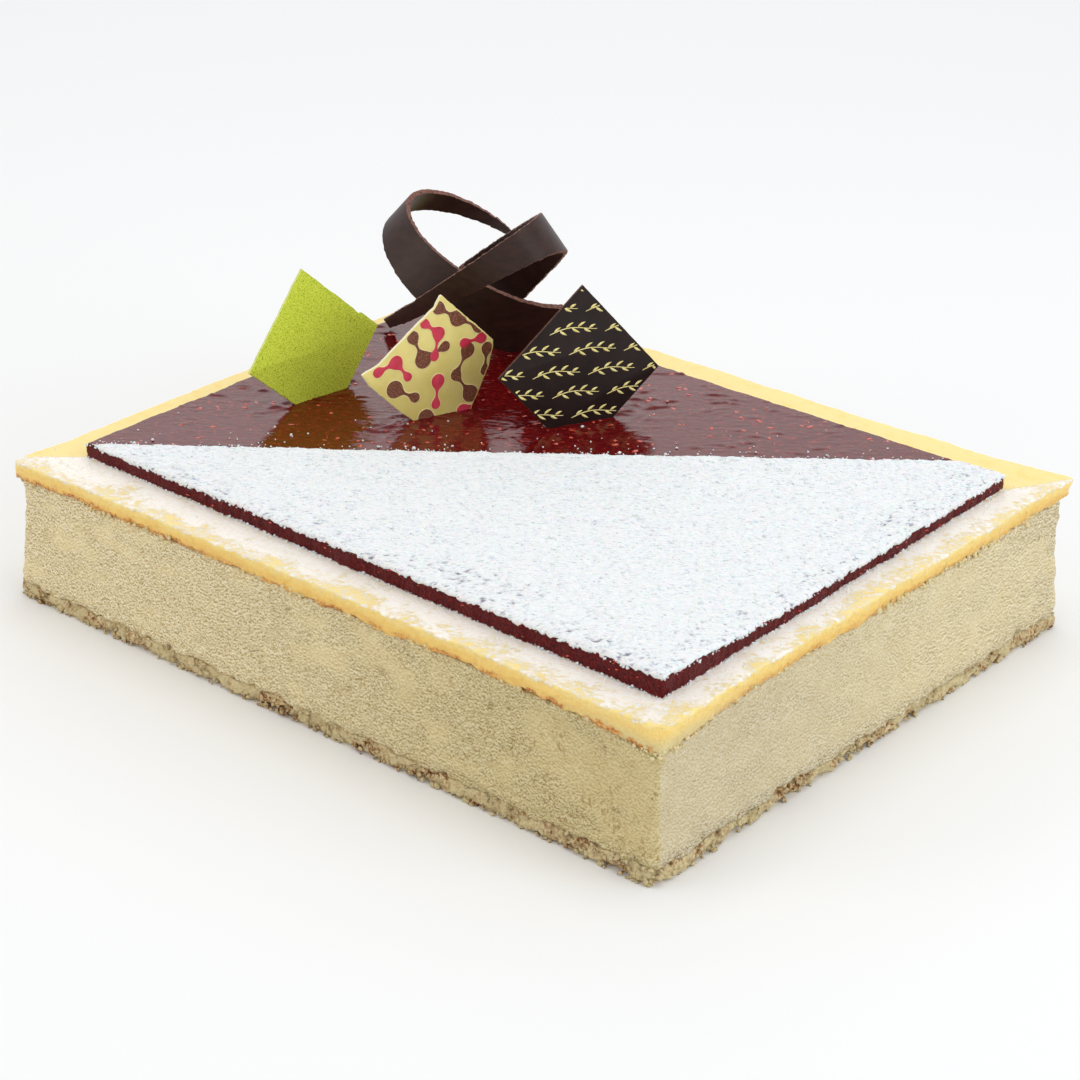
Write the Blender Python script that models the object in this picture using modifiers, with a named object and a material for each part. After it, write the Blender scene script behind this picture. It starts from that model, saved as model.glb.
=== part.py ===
"""A baked cheesecake block: crumb base, cheese filling, pale yellow top, raspberry jelly and
chocolate decorations.  Metres, +Z up, origin at the middle of the underside."""

import math

import bmesh
import bpy
from mathutils import Matrix, Vector, noise

MM = 0.001
GAP = 0.3 * MM                      # air left between two pieces that touch

# ---- the cake's block -------------------------------------------------------------------
CAKE_LENGTH = 266.8 * MM            # along X, at the height of the yellow top
CAKE_WIDTH = 216.0 * MM             # along Y
CAKE_HEIGHT = 50.9 * MM             # underside to yellow top, in the middle
TOP_SLOPE_X = 1.22 / 133.4          # the top rises a little towards the right corner
TOP_SLOPE_Y = 0.98 / 108.0
BASE_HEIGHT = 5.2 * MM
YELLOW_HEIGHT = 6.6 * MM
JELLY_HEIGHT = 4.6 * MM
SUGAR_HEIGHT = 0.8 * MM
CHOCOLATE = 2.0 * MM                # thickness of the curled strips

CORNER_STEPS = 4                    # points round each corner of an outline, less one
LONG_STEPS = 30                     # steps along the long sides of an outline
SHORT_STEPS = 24

# Corner radii in the order near left, near right, far right, far left.
SHARP_CORNERS = (3 * MM, 4 * MM, 3 * MM, 4 * MM)
SOFT_CORNERS = (2 * MM, 7 * MM, 2 * MM, 8 * MM)

# ---- the jelly and the sugar on it ------------------------------------------------------
JELLY_CORNERS = (                   # near left, near right, far right, far left
    Vector((-119.2, -91.6)) * MM,
    Vector((124.6, -96.2)) * MM,
    Vector((121.6, 89.3)) * MM,
    Vector((-122.8, 89.3)) * MM,
)
JELLY_CELLS = (36, 30)
JELLY_EDGE_SWELL = 1.4 * MM         # extra thickness along the near edge
JELLY_CORNER_SWELL = 0.9 * MM       # and on top of that at the near right corner
SUGAR_LINE = (                      # the sugar ends on this line across the jelly
    Vector((-115.5, -91.7)) * MM,
    Vector((107.3, 89.3)) * MM,
)
SUGAR_INSET = 0.8 * MM
SUGAR_CELLS = (22, 20)

# ---- the chocolate tiles ----------------------------------------------------------------
TILE_THICKNESS = 2.0 * MM
GREEN_SIDE = 40.3 * MM
DARK_SIDE = 42.2 * MM


def srgb(red, green, blue):
    """A colour as seen on a screen, 0 to 255, as the linear values Blender takes."""
    def linear(value):
        value /= 255
        return value / 12.92 if value <= 0.04045 else ((value + 0.055) / 1.055) ** 2.4
    return (linear(red), linear(green), linear(blue), 1)


def material(name, colour, roughness):
    made = bpy.data.materials.new(name)
    made.use_nodes = True
    shader = made.node_tree.nodes["Principled BSDF"]
    shader.inputs["Base Color"].default_value = colour
    shader.inputs["Roughness"].default_value = roughness
    shader.inputs["Metallic"].default_value = 0
    return made


def start_scene():
    for old in list(bpy.data.objects):
        bpy.data.objects.remove(old, do_unlink=True)
    parts = bpy.data.collections.new("cheesecake")
    cutters = bpy.data.collections.new("cutters")
    bpy.context.scene.collection.children.link(parts)
    bpy.context.scene.collection.children.link(cutters)
    return parts, cutters


def add_object(name, shape, collection, surface, smooth=True):
    """Turn a bmesh into an object with its faces pointing out."""
    bmesh.ops.recalc_face_normals(shape, faces=shape.faces)
    mesh = bpy.data.meshes.new(name)
    shape.to_mesh(mesh)
    shape.free()
    if smooth:
        mesh.shade_smooth()
        mesh.set_sharp_from_angle(angle=math.radians(40))
    made = bpy.data.objects.new(name, mesh)
    collection.objects.link(made)
    if surface:
        mesh.materials.append(surface)
    return made


def uneven(place, size, amount, seed):
    """Soft unevenness of a given size, between plus and minus amount."""
    shifted = Vector(place) / size + Vector((seed * 7.3, seed * 3.1, seed * 5.7))
    return amount * noise.noise(shifted)


def top_plane(x, y):
    """Height of the yellow top's flat surface."""
    return CAKE_HEIGHT + TOP_SLOPE_X * x + TOP_SLOPE_Y * y


# ---- outlines and rings -----------------------------------------------------------------

def outline(offset, radii):
    """The block's rounded outline moved outwards by offset: pairs of point and outward normal."""
    signs = ((-1, -1), (1, -1), (1, 1), (-1, 1))
    start_angles = (180, 270, 0, 90)
    arcs = []
    for (side_x, side_y), start, radius in zip(signs, start_angles, radii):
        grown = max(radius + offset, 0.5 * MM)
        centre = Vector((side_x * (CAKE_LENGTH / 2 + offset - grown),
                         side_y * (CAKE_WIDTH / 2 + offset - grown)))
        arc = []
        for step in range(CORNER_STEPS + 1):
            angle = math.radians(start + 90 * step / CORNER_STEPS)
            normal = Vector((math.cos(angle), math.sin(angle)))
            arc.append((centre + grown * normal, normal))
        arcs.append(arc)
    ring = []
    for index, arc in enumerate(arcs):
        ring += arc
        steps = LONG_STEPS if index % 2 == 0 else SHORT_STEPS
        first, normal = arc[-1]
        last = arcs[(index + 1) % 4][0][0]
        ring += [(first.lerp(last, step / steps), normal) for step in range(1, steps)]
    return ring


def no_reach(x, y):
    return 0


def ring_at(offset, radii, height, rough=0.0, rough_size=24 * MM, seed=1, reach=no_reach):
    """A ring of 3-D points: an uneven outline, at the heights that height(x, y) gives."""
    ring = []
    for point, normal in outline(offset, radii):
        level = height(point.x, point.y)
        push = uneven((point.x, point.y, level), rough_size, rough, seed)
        push += reach(point.x, point.y)
        moved = point + normal * push
        ring.append(Vector((moved.x, moved.y, height(moved.x, moved.y))))
    return ring


def split_quad(shape, near, far, far_after, near_after):
    """Two triangles across the shorter diagonal, so that touching layers split alike."""
    first = (near.co - far_after.co).length
    second = (near_after.co - far.co).length
    if abs(first - second) < 0.01 * MM:
        outer_first = near.co.xy.length > far.co.xy.length
    else:
        outer_first = first < second
    if outer_first:
        shape.faces.new((near, near_after, far_after))
        shape.faces.new((near, far_after, far))
    else:
        shape.faces.new((near, near_after, far))
        shape.faces.new((near_after, far_after, far))


def stack_of_rings(name, rings, collection, surface):
    """A closed solid through rings of equal count, from the lowest to the highest."""
    shape = bmesh.new()
    loops = [[shape.verts.new(point) for point in ring] for ring in rings]
    count = len(loops[0])
    for lower, upper in zip(loops, loops[1:]):
        for index in range(count):
            after = (index + 1) % count
            split_quad(shape, lower[index], upper[index], upper[after], lower[after])
    for loop in (loops[0], loops[-1]):
        middle = shape.verts.new(sum((vert.co for vert in loop), Vector()) / count)
        for index in range(count):
            shape.faces.new((loop[index], loop[(index + 1) % count], middle))
    return add_object(name, shape, collection, surface)


# ---- the layers of the block ------------------------------------------------------------

BASE_SEED = 3
FILLING_SEED = 5
YELLOW_SEED = 8


def base_top(x, y):
    """The wavy line where the crumb base meets the filling, flat away from the sides."""
    near_side = max(abs(x) / (CAKE_LENGTH / 2), abs(y) / (CAKE_WIDTH / 2))
    strength = min(max((near_side - 0.93) / 0.05, 0), 1)
    return BASE_HEIGHT + strength * uneven((x, y, 0), 17 * MM, 1.3 * MM, BASE_SEED)


def lip_sag(x, y):
    """The yellow layer hangs lower round the near right corner."""
    away = math.hypot(CAKE_LENGTH / 2 - x, CAKE_WIDTH / 2 + y)
    return 2.6 * MM * math.exp(-(away / (18 * MM)) ** 2)


def filling_top(x, y):
    return top_plane(x, y) - YELLOW_HEIGHT - lip_sag(x, y)


def crumb_base(parts):
    """Pressed biscuit crumb, a rough-edged slab a little wider than the filling."""
    def at(offset, height, rough, seed):
        return ring_at(offset, SHARP_CORNERS, height, rough, 9 * MM, seed)

    rings = [
        at(1.6 * MM, lambda x, y: 0, 0.8 * MM, BASE_SEED),
        at(2.6 * MM, lambda x, y: 1.2 * MM, 1.3 * MM, BASE_SEED),
        at(2.7 * MM, lambda x, y: 3.0 * MM, 1.3 * MM, BASE_SEED + 1),
        at(2.2 * MM, lambda x, y: base_top(x, y) - 0.6 * MM, 1.0 * MM, BASE_SEED + 1),
        ring_at(1.4 * MM, SHARP_CORNERS, base_top),
        ring_at(-12 * MM, SHARP_CORNERS, base_top),
    ]
    surface = material("baked crumb", srgb(150, 108, 66), 0.95)
    return stack_of_rings("crumb_base", rings, parts, surface)


def cheese_filling(parts):
    """The tall pale block, spread a little at its foot and drawn in under the yellow lip."""
    profile = (                      # height from base to yellow top, and how far out the side is
        (0.00, 1.9), (0.10, 2.1), (0.30, 1.4), (0.55, 0.6), (0.78, 0.1), (0.92, -0.6),
    )
    rings = [
        ring_at(-12 * MM, SHARP_CORNERS, lambda x, y: base_top(x, y) + GAP),
        ring_at(1.4 * MM, SHARP_CORNERS, lambda x, y: base_top(x, y) + GAP),
    ]
    for share, offset in profile[1:]:
        def height(x, y, share=share):
            low = base_top(x, y) + GAP
            return low + share * (filling_top(x, y) - low)
        rings.append(ring_at(offset * MM, SHARP_CORNERS, height, 0.8 * MM, 21 * MM, FILLING_SEED))
    rings.append(ring_at(-1.3 * MM, SHARP_CORNERS, filling_top))
    surface = material("cream cheese", srgb(224, 210, 170), 0.7)
    return stack_of_rings("cheese_filling", rings, parts, surface)


def lip_curl(x, y):
    """The lip turns up slightly at the far right corner."""
    away = math.hypot(CAKE_LENGTH / 2 - x, CAKE_WIDTH / 2 - y)
    return 1.0 * MM * math.exp(-(away / (28 * MM)) ** 2)


def lip_reach(x, y):
    """How much further the lip sticks out at the near left, near right and far right corners."""
    reach = 0
    for side_x, side_y, most, spread in ((-1, -1, 0.8, 14), (1, -1, 1.2, 45), (1, 1, 1.4, 14)):
        away = math.hypot(side_x * CAKE_LENGTH / 2 - x, side_y * CAKE_WIDTH / 2 - y)
        reach += most * MM * math.exp(-(away / (spread * MM)) ** 2)
    return reach


def baked_top(parts):
    """The bright yellow layer, overhanging the filling all round with a soft wavy lip."""
    def level(depth, wave):
        def height(x, y):
            ripple = uneven((x, y, 0), 13 * MM, wave, YELLOW_SEED)
            sag = lip_sag(x, y) * depth / YELLOW_HEIGHT
            return top_plane(x, y) - depth - sag + ripple + lip_curl(x, y)
        return height

    def at(offset, depth, wave, rough):
        return ring_at(offset, SOFT_CORNERS, level(depth, wave), rough, 16 * MM, YELLOW_SEED,
                       lip_reach)

    rings = [
        ring_at(-1.3 * MM, SHARP_CORNERS, lambda x, y: filling_top(x, y) + GAP),
        at(0.1 * MM, YELLOW_HEIGHT - 0.9 * MM, 0.9 * MM, 0.8 * MM),
        at(0.9 * MM, YELLOW_HEIGHT - 2.2 * MM, 0.8 * MM, 0.9 * MM),
        at(1.2 * MM, 2.4 * MM, 0.3 * MM, 0.9 * MM),
        at(0.5 * MM, 0.7 * MM, 0, 0.7 * MM),
        at(-1.0 * MM, 0.1 * MM, 0, 0.4 * MM),
        ring_at(-7 * MM, SOFT_CORNERS, top_plane),
    ]
    surface = material("baked yellow top", srgb(246, 214, 120), 0.55)
    return stack_of_rings("baked_top", rings, parts, surface)


# ---- jelly and sugar --------------------------------------------------------------------

def sugar_side(x, y):
    """Signed distance from the sugar's line: below zero on the sugared half."""
    start, end = SUGAR_LINE
    along = (end - start).normalized()
    return along.x * (y - start.y) - along.y * (x - start.x)


def jelly_relief(x, y):
    """Brush ripples and sunk seeds on the bare half, level under the sugar."""
    strength = min(max((sugar_side(x, y) - 3 * MM) / (8 * MM), 0), 1)
    ripples = uneven((x, y * 0.4, 0), 9 * MM, 0.5 * MM, 11)
    seeds = uneven((x, y, 0), 6 * MM, 0.4 * MM, 12)
    return strength * (ripples + seeds)


def between_corners(corners, across, along):
    """A point inside four corners, by shares from 0 to 1."""
    near = corners[0].lerp(corners[1], across)
    far = corners[3].lerp(corners[2], across)
    return near.lerp(far, along)


def slab_on_grid(name, corners, cells, top, bottom, flat_below, ragged, collection, surface):
    """A slab between four corners with a relief on its top and an uneven rim."""
    columns, rows = cells
    middle = sum(corners, Vector((0, 0))) / 4
    shape = bmesh.new()
    upper = {}
    lower = {}
    for column in range(columns + 1):
        for row in range(rows + 1):
            point = between_corners(corners, column / columns, row / rows)
            on_rim = column in (0, columns) or row in (0, rows)
            if on_rim:
                outwards = (point - middle).normalized()
                point += outwards * uneven((point.x, point.y, 0), 8 * MM, ragged, 15)
            drop = 0.25 if on_rim else 0
            height = top(point.x, point.y)
            height -= drop * (height - bottom(point.x, point.y))
            upper[column, row] = shape.verts.new((point.x, point.y, height))
            if on_rim or not flat_below:
                low = (point.x, point.y, bottom(point.x, point.y))
                lower[column, row] = shape.verts.new(low)
    for grid in (upper,) if flat_below else (upper, lower):
        for column in range(columns):
            for row in range(rows):
                shape.faces.new((grid[column, row], grid[column + 1, row],
                                 grid[column + 1, row + 1], grid[column, row + 1]))
    rim = [(column, 0) for column in range(columns)]
    rim += [(columns, row) for row in range(rows)]
    rim += [(column, rows) for column in range(columns, 0, -1)]
    rim += [(0, row) for row in range(rows, 0, -1)]
    for here, after in zip(rim, rim[1:] + rim[:1]):
        shape.faces.new((upper[here], upper[after], lower[after], lower[here]))
    if flat_below:
        shape.faces.new([lower[here] for here in rim])
    return add_object(name, shape, collection, surface)


def jelly_bottom(x, y):
    return top_plane(x, y) + GAP


def jelly_top(x, y):
    """The jelly has set thicker along the near edge, and most at its near right corner."""
    corner = JELLY_CORNERS[1]
    along = min(max((x + 170 * MM) / (190 * MM), 0), 1)
    edge = along * math.exp(-((y - corner.y) / (40 * MM)) ** 2)
    at_corner = math.exp(-((Vector((x, y)) - corner).length / (28 * MM)) ** 2)
    thickness = JELLY_HEIGHT + JELLY_EDGE_SWELL * edge + JELLY_CORNER_SWELL * at_corner
    return top_plane(x, y) + thickness


def jelly_slab(parts, slots):
    """Set raspberry jelly, with a slot for each tile that is pushed into it."""
    surface = material("raspberry jelly", srgb(110, 30, 38), 0.15)
    slab = slab_on_grid("jelly_slab", JELLY_CORNERS, JELLY_CELLS,
                        lambda x, y: jelly_top(x, y) + jelly_relief(x, y),
                        jelly_bottom, True, 0.6 * MM, parts, surface)
    for slot in slots:
        cut = slab.modifiers.new("tile slot", "BOOLEAN")
        cut.operation = "DIFFERENCE"
        cut.object = slot
    return slab


def icing_sugar(parts):
    """A skin of sifted sugar over the near half of the jelly."""
    near_left, near_right, far_right, _ = JELLY_CORNERS
    start, end = SUGAR_LINE
    middle = (near_left + near_right + far_right) / 3

    def inset(corner):
        return corner + (middle - corner).normalized() * SUGAR_INSET

    corners = (inset(start), inset(near_right), inset(far_right), inset(end))
    surface = material("icing sugar", srgb(240, 243, 246), 0.9)

    def bottom(x, y):
        return jelly_top(x, y) + GAP

    def top(x, y):
        return bottom(x, y) + SUGAR_HEIGHT + uneven((x, y, 0), 11 * MM, 0.3 * MM, 21)

    return slab_on_grid("icing_sugar", corners, SUGAR_CELLS, top, bottom, False, 0.4 * MM,
                        parts, surface)


# ---- chocolate tiles --------------------------------------------------------------------

def square_outline(side):
    """A square stood on one corner, its centre at the origin."""
    half = side / math.sqrt(2)
    return [Vector((0, -half)), Vector((half, 0)), Vector((0, half)), Vector((-half, 0))]


def notched_square_outline(side):
    """The square with a small step broken from its upper right edge."""
    bottom, right, top, left = square_outline(side)
    inwards = (bottom - top).normalized() * 0.7 * MM
    step = right.lerp(top, 0.23)
    return [bottom, right, step, step + inwards, right.lerp(top, 0.33), top, left]


def broken_outline():
    """A roughly broken piece with slightly curved edges, its near foot at the origin."""
    points = ((5.5, -5), (19.5, -5), (22.1, 0.2), (27, 9.6), (29.4, 14.6), (31.3, 21.4),
              (31.3, 23.4), (11.3, 42.7), (10.6, 42.5), (8.6, 39), (1.9, 34.3), (-12.9, 23),
              (-19.6, 20.3), (-16.9, 15.7), (-5.7, 4.9))
    return [Vector(point) * MM for point in points]


def cut_level(points, level):
    """Keep the part of an outline that lies above a level, as where it stands on the cake."""
    kept = []
    for index, point in enumerate(points):
        before = points[index - 1]
        if (before.y < level) != (point.y < level):
            share = (level - before.y) / (point.y - before.y)
            kept.append(before.lerp(point, share))
        if point.y >= level:
            kept.append(point)
    return kept


def grown(points, distance):
    """An outline moved outwards by a distance, corner by corner."""
    moved = []
    for index, point in enumerate(points):
        before = points[index - 1]
        after = points[(index + 1) % len(points)]
        normals = []
        for start, end in ((before, point), (point, after)):
            along = (end - start).normalized()
            normals.append(Vector((along.y, -along.x)))
        bisector = (normals[0] + normals[1]).normalized()
        moved.append(point + bisector * distance / max(bisector.dot(normals[0]), 0.4))
    return moved


def upright_plate(name, points, thickness, place, turn, collection, surface):
    """A flat plate with its outline in the X-Z plane, turned and put in its place."""
    shape = bmesh.new()
    front = [shape.verts.new((point.x, -thickness / 2, point.y)) for point in points]
    back = [shape.verts.new((point.x, thickness / 2, point.y)) for point in points]
    shape.faces.new(front)
    shape.faces.new(reversed(back))
    for index in range(len(points)):
        after = (index + 1) % len(points)
        shape.faces.new((front[index], back[index], back[after], front[after]))
    made = add_object(name, shape, collection, surface, smooth=False)
    made.matrix_world = Matrix.Translation(place) @ turn
    return made


def tile_turn(heading, lean, tip):
    """Turn of a tile: along which way it stands, how far it leans back, how far it is tipped."""
    return (Matrix.Rotation(math.radians(heading), 4, "Z")
            @ Matrix.Rotation(math.radians(-lean), 4, "X")
            @ Matrix.Rotation(math.radians(-tip), 4, "Y"))


def tile_with_slot(name, points, place, turn, parts, cutters, surface):
    """A tile stood on the yellow top, and the cutter for its slot in the jelly."""
    place = Vector(place) * MM
    standing = top_plane(place.x, place.y) + 2 * GAP - place.z
    visible = cut_level(points, standing)
    tile = upright_plate(name, visible, TILE_THICKNESS, place, turn, parts, surface)
    soften = tile.modifiers.new("soft edges", "BEVEL")
    soften.width = 0.25 * MM
    soften.segments = 1
    cutter_outline = [point - Vector((0, 3 * MM)) if point.y < standing + 2 * GAP else point
                      for point in grown(visible, GAP)]
    cutter = upright_plate(name + "_slot", cutter_outline, TILE_THICKNESS + 2 * GAP, place, turn,
                           cutters, None)
    cutter.hide_render = True
    cutter.display_type = "WIRE"
    return tile, cutter


def chocolate_tiles(parts, cutters):
    """The green, the cream and the dark tile, each with the cutter of its slot."""
    made = [
        tile_with_slot("green_tile", notched_square_outline(GREEN_SIDE), (-93.9, -10.2, 71.1),
                       tile_turn(82.9, 9.6, 3.5), parts, cutters,
                       material("green sprayed chocolate", srgb(186, 205, 62), 0.6)),
        tile_with_slot("cream_tile", broken_outline(), (-52.2, -5.0, 54.9),
                       tile_turn(72.4, 3.0, 0), parts, cutters,
                       material("white chocolate", srgb(232, 214, 140), 0.4)),
        tile_with_slot("dark_tile", square_outline(DARK_SIDE), (-11.7, 32.7, 73.1),
                       tile_turn(64.9, 7.3, -3.7), parts, cutters,
                       material("dark chocolate tile", srgb(42, 34, 32), 0.35)),
    ]
    return [cutter for _, cutter in made]


# ---- curled chocolate strips ------------------------------------------------------------

STRIP_STEPS = 60                    # steps along a curled strip
STRIP_ROWS = 3                      # rows of faces across it
LOOP_HEADING = math.radians(39.3)   # the loops' own sideways direction, from +X towards +Y
FOOT_ABOVE_JELLY = 1.0 * MM


def strip_point(loop, angle, share):
    """A point on a tapered strip curled round an oval former: share 0 is its upper edge."""
    turned = angle - math.radians(loop["middle"])
    radius = (loop["radius"] + loop["spread"] * turned) * MM
    oval_turn = math.radians(loop["oval_turn"])
    around = Vector((math.cos(angle - oval_turn), loop["oval"] * math.sin(angle - oval_turn), 0))
    upper = Matrix.Rotation(oval_turn, 3, "Z") @ around * radius
    upper.z += loop["rise"] * turned * MM
    lean = sum(term * turned ** power for power, term in enumerate(loop["lean"]))
    down = Vector((math.cos(angle) * math.sin(lean), math.sin(angle) * math.sin(lean),
                   -math.cos(lean)))
    width = (loop["width"] + loop["widening"] * turned) * MM
    tilt = (Matrix.Rotation(LOOP_HEADING, 3, "Z")
            @ Matrix.Rotation(math.radians(loop["roll"]), 3, "Y")
            @ Matrix.Rotation(math.radians(loop["pitch"]), 3, "X"))
    return Vector(loop["centre"]) * MM + tilt @ (upper + down * width * share)


def curled_strip(name, loop, parts, surface):
    """A long triangle of thin chocolate, curled while soft, standing on the jelly."""
    shape = bmesh.new()
    rows = []
    for step in range(STRIP_STEPS + 1):
        angle = math.radians(loop["start"] + (loop["end"] - loop["start"]) * step / STRIP_STEPS)
        row = []
        for place in range(STRIP_ROWS + 1):
            point = strip_point(loop, angle, place / STRIP_ROWS)
            lowest = jelly_top(point.x, point.y) + FOOT_ABOVE_JELLY
            point.z = max(point.z, lowest + place * GAP / STRIP_ROWS)
            row.append(shape.verts.new(point))
        rows.append(row)
    for row, after in zip(rows, rows[1:]):
        for place in range(STRIP_ROWS):
            shape.faces.new((row[place], row[place + 1], after[place + 1], after[place]))
    made = add_object(name, shape, parts, surface)
    thicken = made.modifiers.new("thickness", "SOLIDIFY")
    thicken.thickness = CHOCOLATE
    thicken.offset = 0
    return made


LEFT_LOOP = {                       # millimetres, degrees, and millimetres for each radian
    "centre": (-89.0, 74.3, 90.1), "roll": 22.9, "pitch": 14.3,
    "radius": 33.5, "spread": 3.6, "oval": 0.75, "oval_turn": -22.5, "rise": 1.25,
    "width": 14.4, "widening": 5.2, "lean": (0.30, 0.04, -0.136),
    "start": 318, "middle": 200, "end": 62,
}

RIGHT_LOOP = {
    "centre": (-88.7, 68.8, 85.7), "roll": -37.6, "pitch": -13.75,
    "radius": 45.2, "spread": -10.9, "oval": 0.47, "oval_turn": -53.4, "rise": 0,
    "width": 15.8, "widening": 4.74, "lean": (0,),
    "start": 193, "middle": 340, "end": 500,
}


def chocolate_loops(parts):
    surface = material("dark chocolate", srgb(62, 45, 40), 0.35)
    curled_strip("chocolate_loop_left", LEFT_LOOP, parts, surface)
    curled_strip("chocolate_loop_right", RIGHT_LOOP, parts, surface)


parts, cutters = start_scene()
crumb_base(parts)
cheese_filling(parts)
baked_top(parts)
slots = chocolate_tiles(parts, cutters)
jelly_slab(parts, slots)
icing_sugar(parts)
chocolate_loops(parts)
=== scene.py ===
"""The looks of a New York cheesecake topped with raspberry jelly, sifted sugar and chocolate,
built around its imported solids.  Sizes are in millimetres until a mesh is made."""

import math

import bpy
import numpy as np
from mathutils import Matrix, Vector, noise


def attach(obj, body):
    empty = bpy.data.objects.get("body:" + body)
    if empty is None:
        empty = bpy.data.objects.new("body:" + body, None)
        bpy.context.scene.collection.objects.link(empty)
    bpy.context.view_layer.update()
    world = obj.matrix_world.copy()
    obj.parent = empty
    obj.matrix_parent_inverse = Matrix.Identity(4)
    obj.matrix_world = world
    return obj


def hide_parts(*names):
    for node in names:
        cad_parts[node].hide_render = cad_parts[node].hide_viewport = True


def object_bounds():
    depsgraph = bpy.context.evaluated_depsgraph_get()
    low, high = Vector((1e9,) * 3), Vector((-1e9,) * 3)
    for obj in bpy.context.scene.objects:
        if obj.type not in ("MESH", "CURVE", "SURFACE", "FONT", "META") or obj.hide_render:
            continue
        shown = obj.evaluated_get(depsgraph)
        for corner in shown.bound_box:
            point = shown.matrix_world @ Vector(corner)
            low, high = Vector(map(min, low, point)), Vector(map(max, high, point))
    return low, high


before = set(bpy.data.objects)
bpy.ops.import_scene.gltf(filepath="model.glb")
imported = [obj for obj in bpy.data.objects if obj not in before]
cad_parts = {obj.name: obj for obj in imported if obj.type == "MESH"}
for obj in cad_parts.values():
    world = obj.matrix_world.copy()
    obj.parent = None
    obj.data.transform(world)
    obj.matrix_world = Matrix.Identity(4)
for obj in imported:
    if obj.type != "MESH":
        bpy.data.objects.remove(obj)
cad_low, cad_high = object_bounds()

# ---- Crumb base -------------------------------------------------------------------------
# Crushed biscuit bound with butter and pressed into the tin by hand.  Baking sets it hard, so
# the knife leaves a crumbling edge that stands a little proud of the filling.

MM = 0.001
CAKE_LENGTH = 266.8
CAKE_WIDTH = 216.0
CAKE_HEIGHT = 50.9
BASE_HEIGHT = 5.2
LAYER_GAP = 0.3
CUT_CORNERS = (2, 1.6, 2, 3)        # radii of the cut sides' corners, left one first
INNER_RING = -12                    # how far in a layer's top and underside turn flat
WALL_STEP = 0.74
CORNER_STEPS = 8
BOX_MARGIN = 0.02                   # how far every piece stays inside the solids' box


def uneven(points, size, amount, seed):
    """The block's own soft unevenness, the same as in its solids."""
    shift = np.array((seed * 7.3, seed * 3.1, seed * 5.7))
    return amount * np.array([noise.noise(place) for place in (points / size + shift).tolist()])


def lumps(points, size, seed, layers=1):
    """Smooth lumps of one size, about -1 to 1, with finer ones on them for each further layer."""
    total = np.zeros(len(points))
    for layer in range(layers):
        spot = points / size * 2.03 ** layer + 31.7 + 7.31 * seed + 3.17 * layer
        cell = np.floor(spot).astype(np.int64)
        part = spot - cell
        ease = part * part * part * (part * (part * 6 - 15) + 10)
        for corner in range(8):
            step = np.array([corner >> axis & 1 for axis in range(3)])
            near = cell + step
            mix = near[:, 0] * 73856093 ^ near[:, 1] * 19349663 ^ near[:, 2] * 83492791
            mix = (mix + seed * 668265263) & 0xFFFFFFFF
            mix = ((mix ^ mix >> 15) * 2246822519) & 0xFFFFFFFF
            mix = ((mix ^ mix >> 13) * 3266489917) & 0xFFFFFFFF
            value = (mix >> 8 & 0xFFFF) / 32767.5 - 1
            weight = np.prod(np.where(step == 1, ease, 1 - ease), axis=1)
            total += 0.5 ** layer * weight * value
    return total


def between(low, high, value):
    """An eased step from 0 at low to 1 at high."""
    share = np.clip((value - low) / (high - low), 0, 1)
    return share * share * (3 - 2 * share)


def outline(offset, radii=CUT_CORNERS):
    """The block's rounded outline moved outwards by offset: its points and outward normals."""
    corners = []
    for index, (side_x, side_y) in enumerate(((-1, -1), (1, -1), (1, 1), (-1, 1))):
        grown = max(radii[index] + offset, 0.5)
        centre = np.array((side_x * (CAKE_LENGTH / 2 + offset - grown),
                           side_y * (CAKE_WIDTH / 2 + offset - grown)))
        angles = np.radians(180 + 90 * index + 90 * np.arange(CORNER_STEPS + 1) / CORNER_STEPS)
        arc = np.stack((np.cos(angles), np.sin(angles)), axis=1)
        corners.append((centre + grown * arc, arc))
    ring, facing = [], []
    for index, (points, normals) in enumerate(corners):
        steps = round((CAKE_LENGTH, CAKE_WIDTH)[index % 2] / WALL_STEP)
        first, last = points[-1], corners[(index + 1) % 4][0][0]
        ring += [points, first + (last - first) * (np.arange(1, steps)[:, None] / steps)]
        facing += [normals, np.repeat(normals[-1:], steps - 1, axis=0)]
    return np.concatenate(ring), np.concatenate(facing)


def raised(flat, heights=0):
    """Flat points given their heights."""
    return np.column_stack((flat, np.broadcast_to(heights, len(flat))))


def base_top(flat):
    """The wavy line where the crumb meets the filling, flat away from the sides."""
    near_side = np.maximum(abs(flat[:, 0]) / (CAKE_LENGTH / 2), abs(flat[:, 1]) / (CAKE_WIDTH / 2))
    strength = np.clip((near_side - 0.93) / 0.05, 0, 1)
    return BASE_HEIGHT + strength * uneven(raised(flat), 17, 1.3, 3)


def pressed_line(flat):
    """The same line at the cut, where crumbs have broken out of it."""
    spots = raised(flat)
    return base_top(flat) + 0.7 * lumps(spots, 6, 6, 2) + 0.4 * lumps(spots, 2.2, 7)


def walls(rows):
    """Faces between closed rings of points, given by their numbers, lowest first."""
    return [np.stack((low, np.roll(low, -1), np.roll(high, -1), high), axis=1)
            for low, high in zip(rows, rows[1:])]


def cap(ring, middle):
    """Faces from a closed ring to a middle point, facing down."""
    return np.stack((np.roll(ring, -1), ring, np.full(len(ring), middle)), axis=1)


def stacked(rings):
    """Points and faces of a closed form through rings of equal count, lowest first."""
    points = np.concatenate([*rings, [rings[0].mean(axis=0)], [rings[-1].mean(axis=0)]])
    total = len(points) - 2
    rows = np.arange(total).reshape(len(rings), -1)
    return points, [*walls(rows), cap(rows[0], total), cap(rows[-1][::-1], total + 1)]


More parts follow.
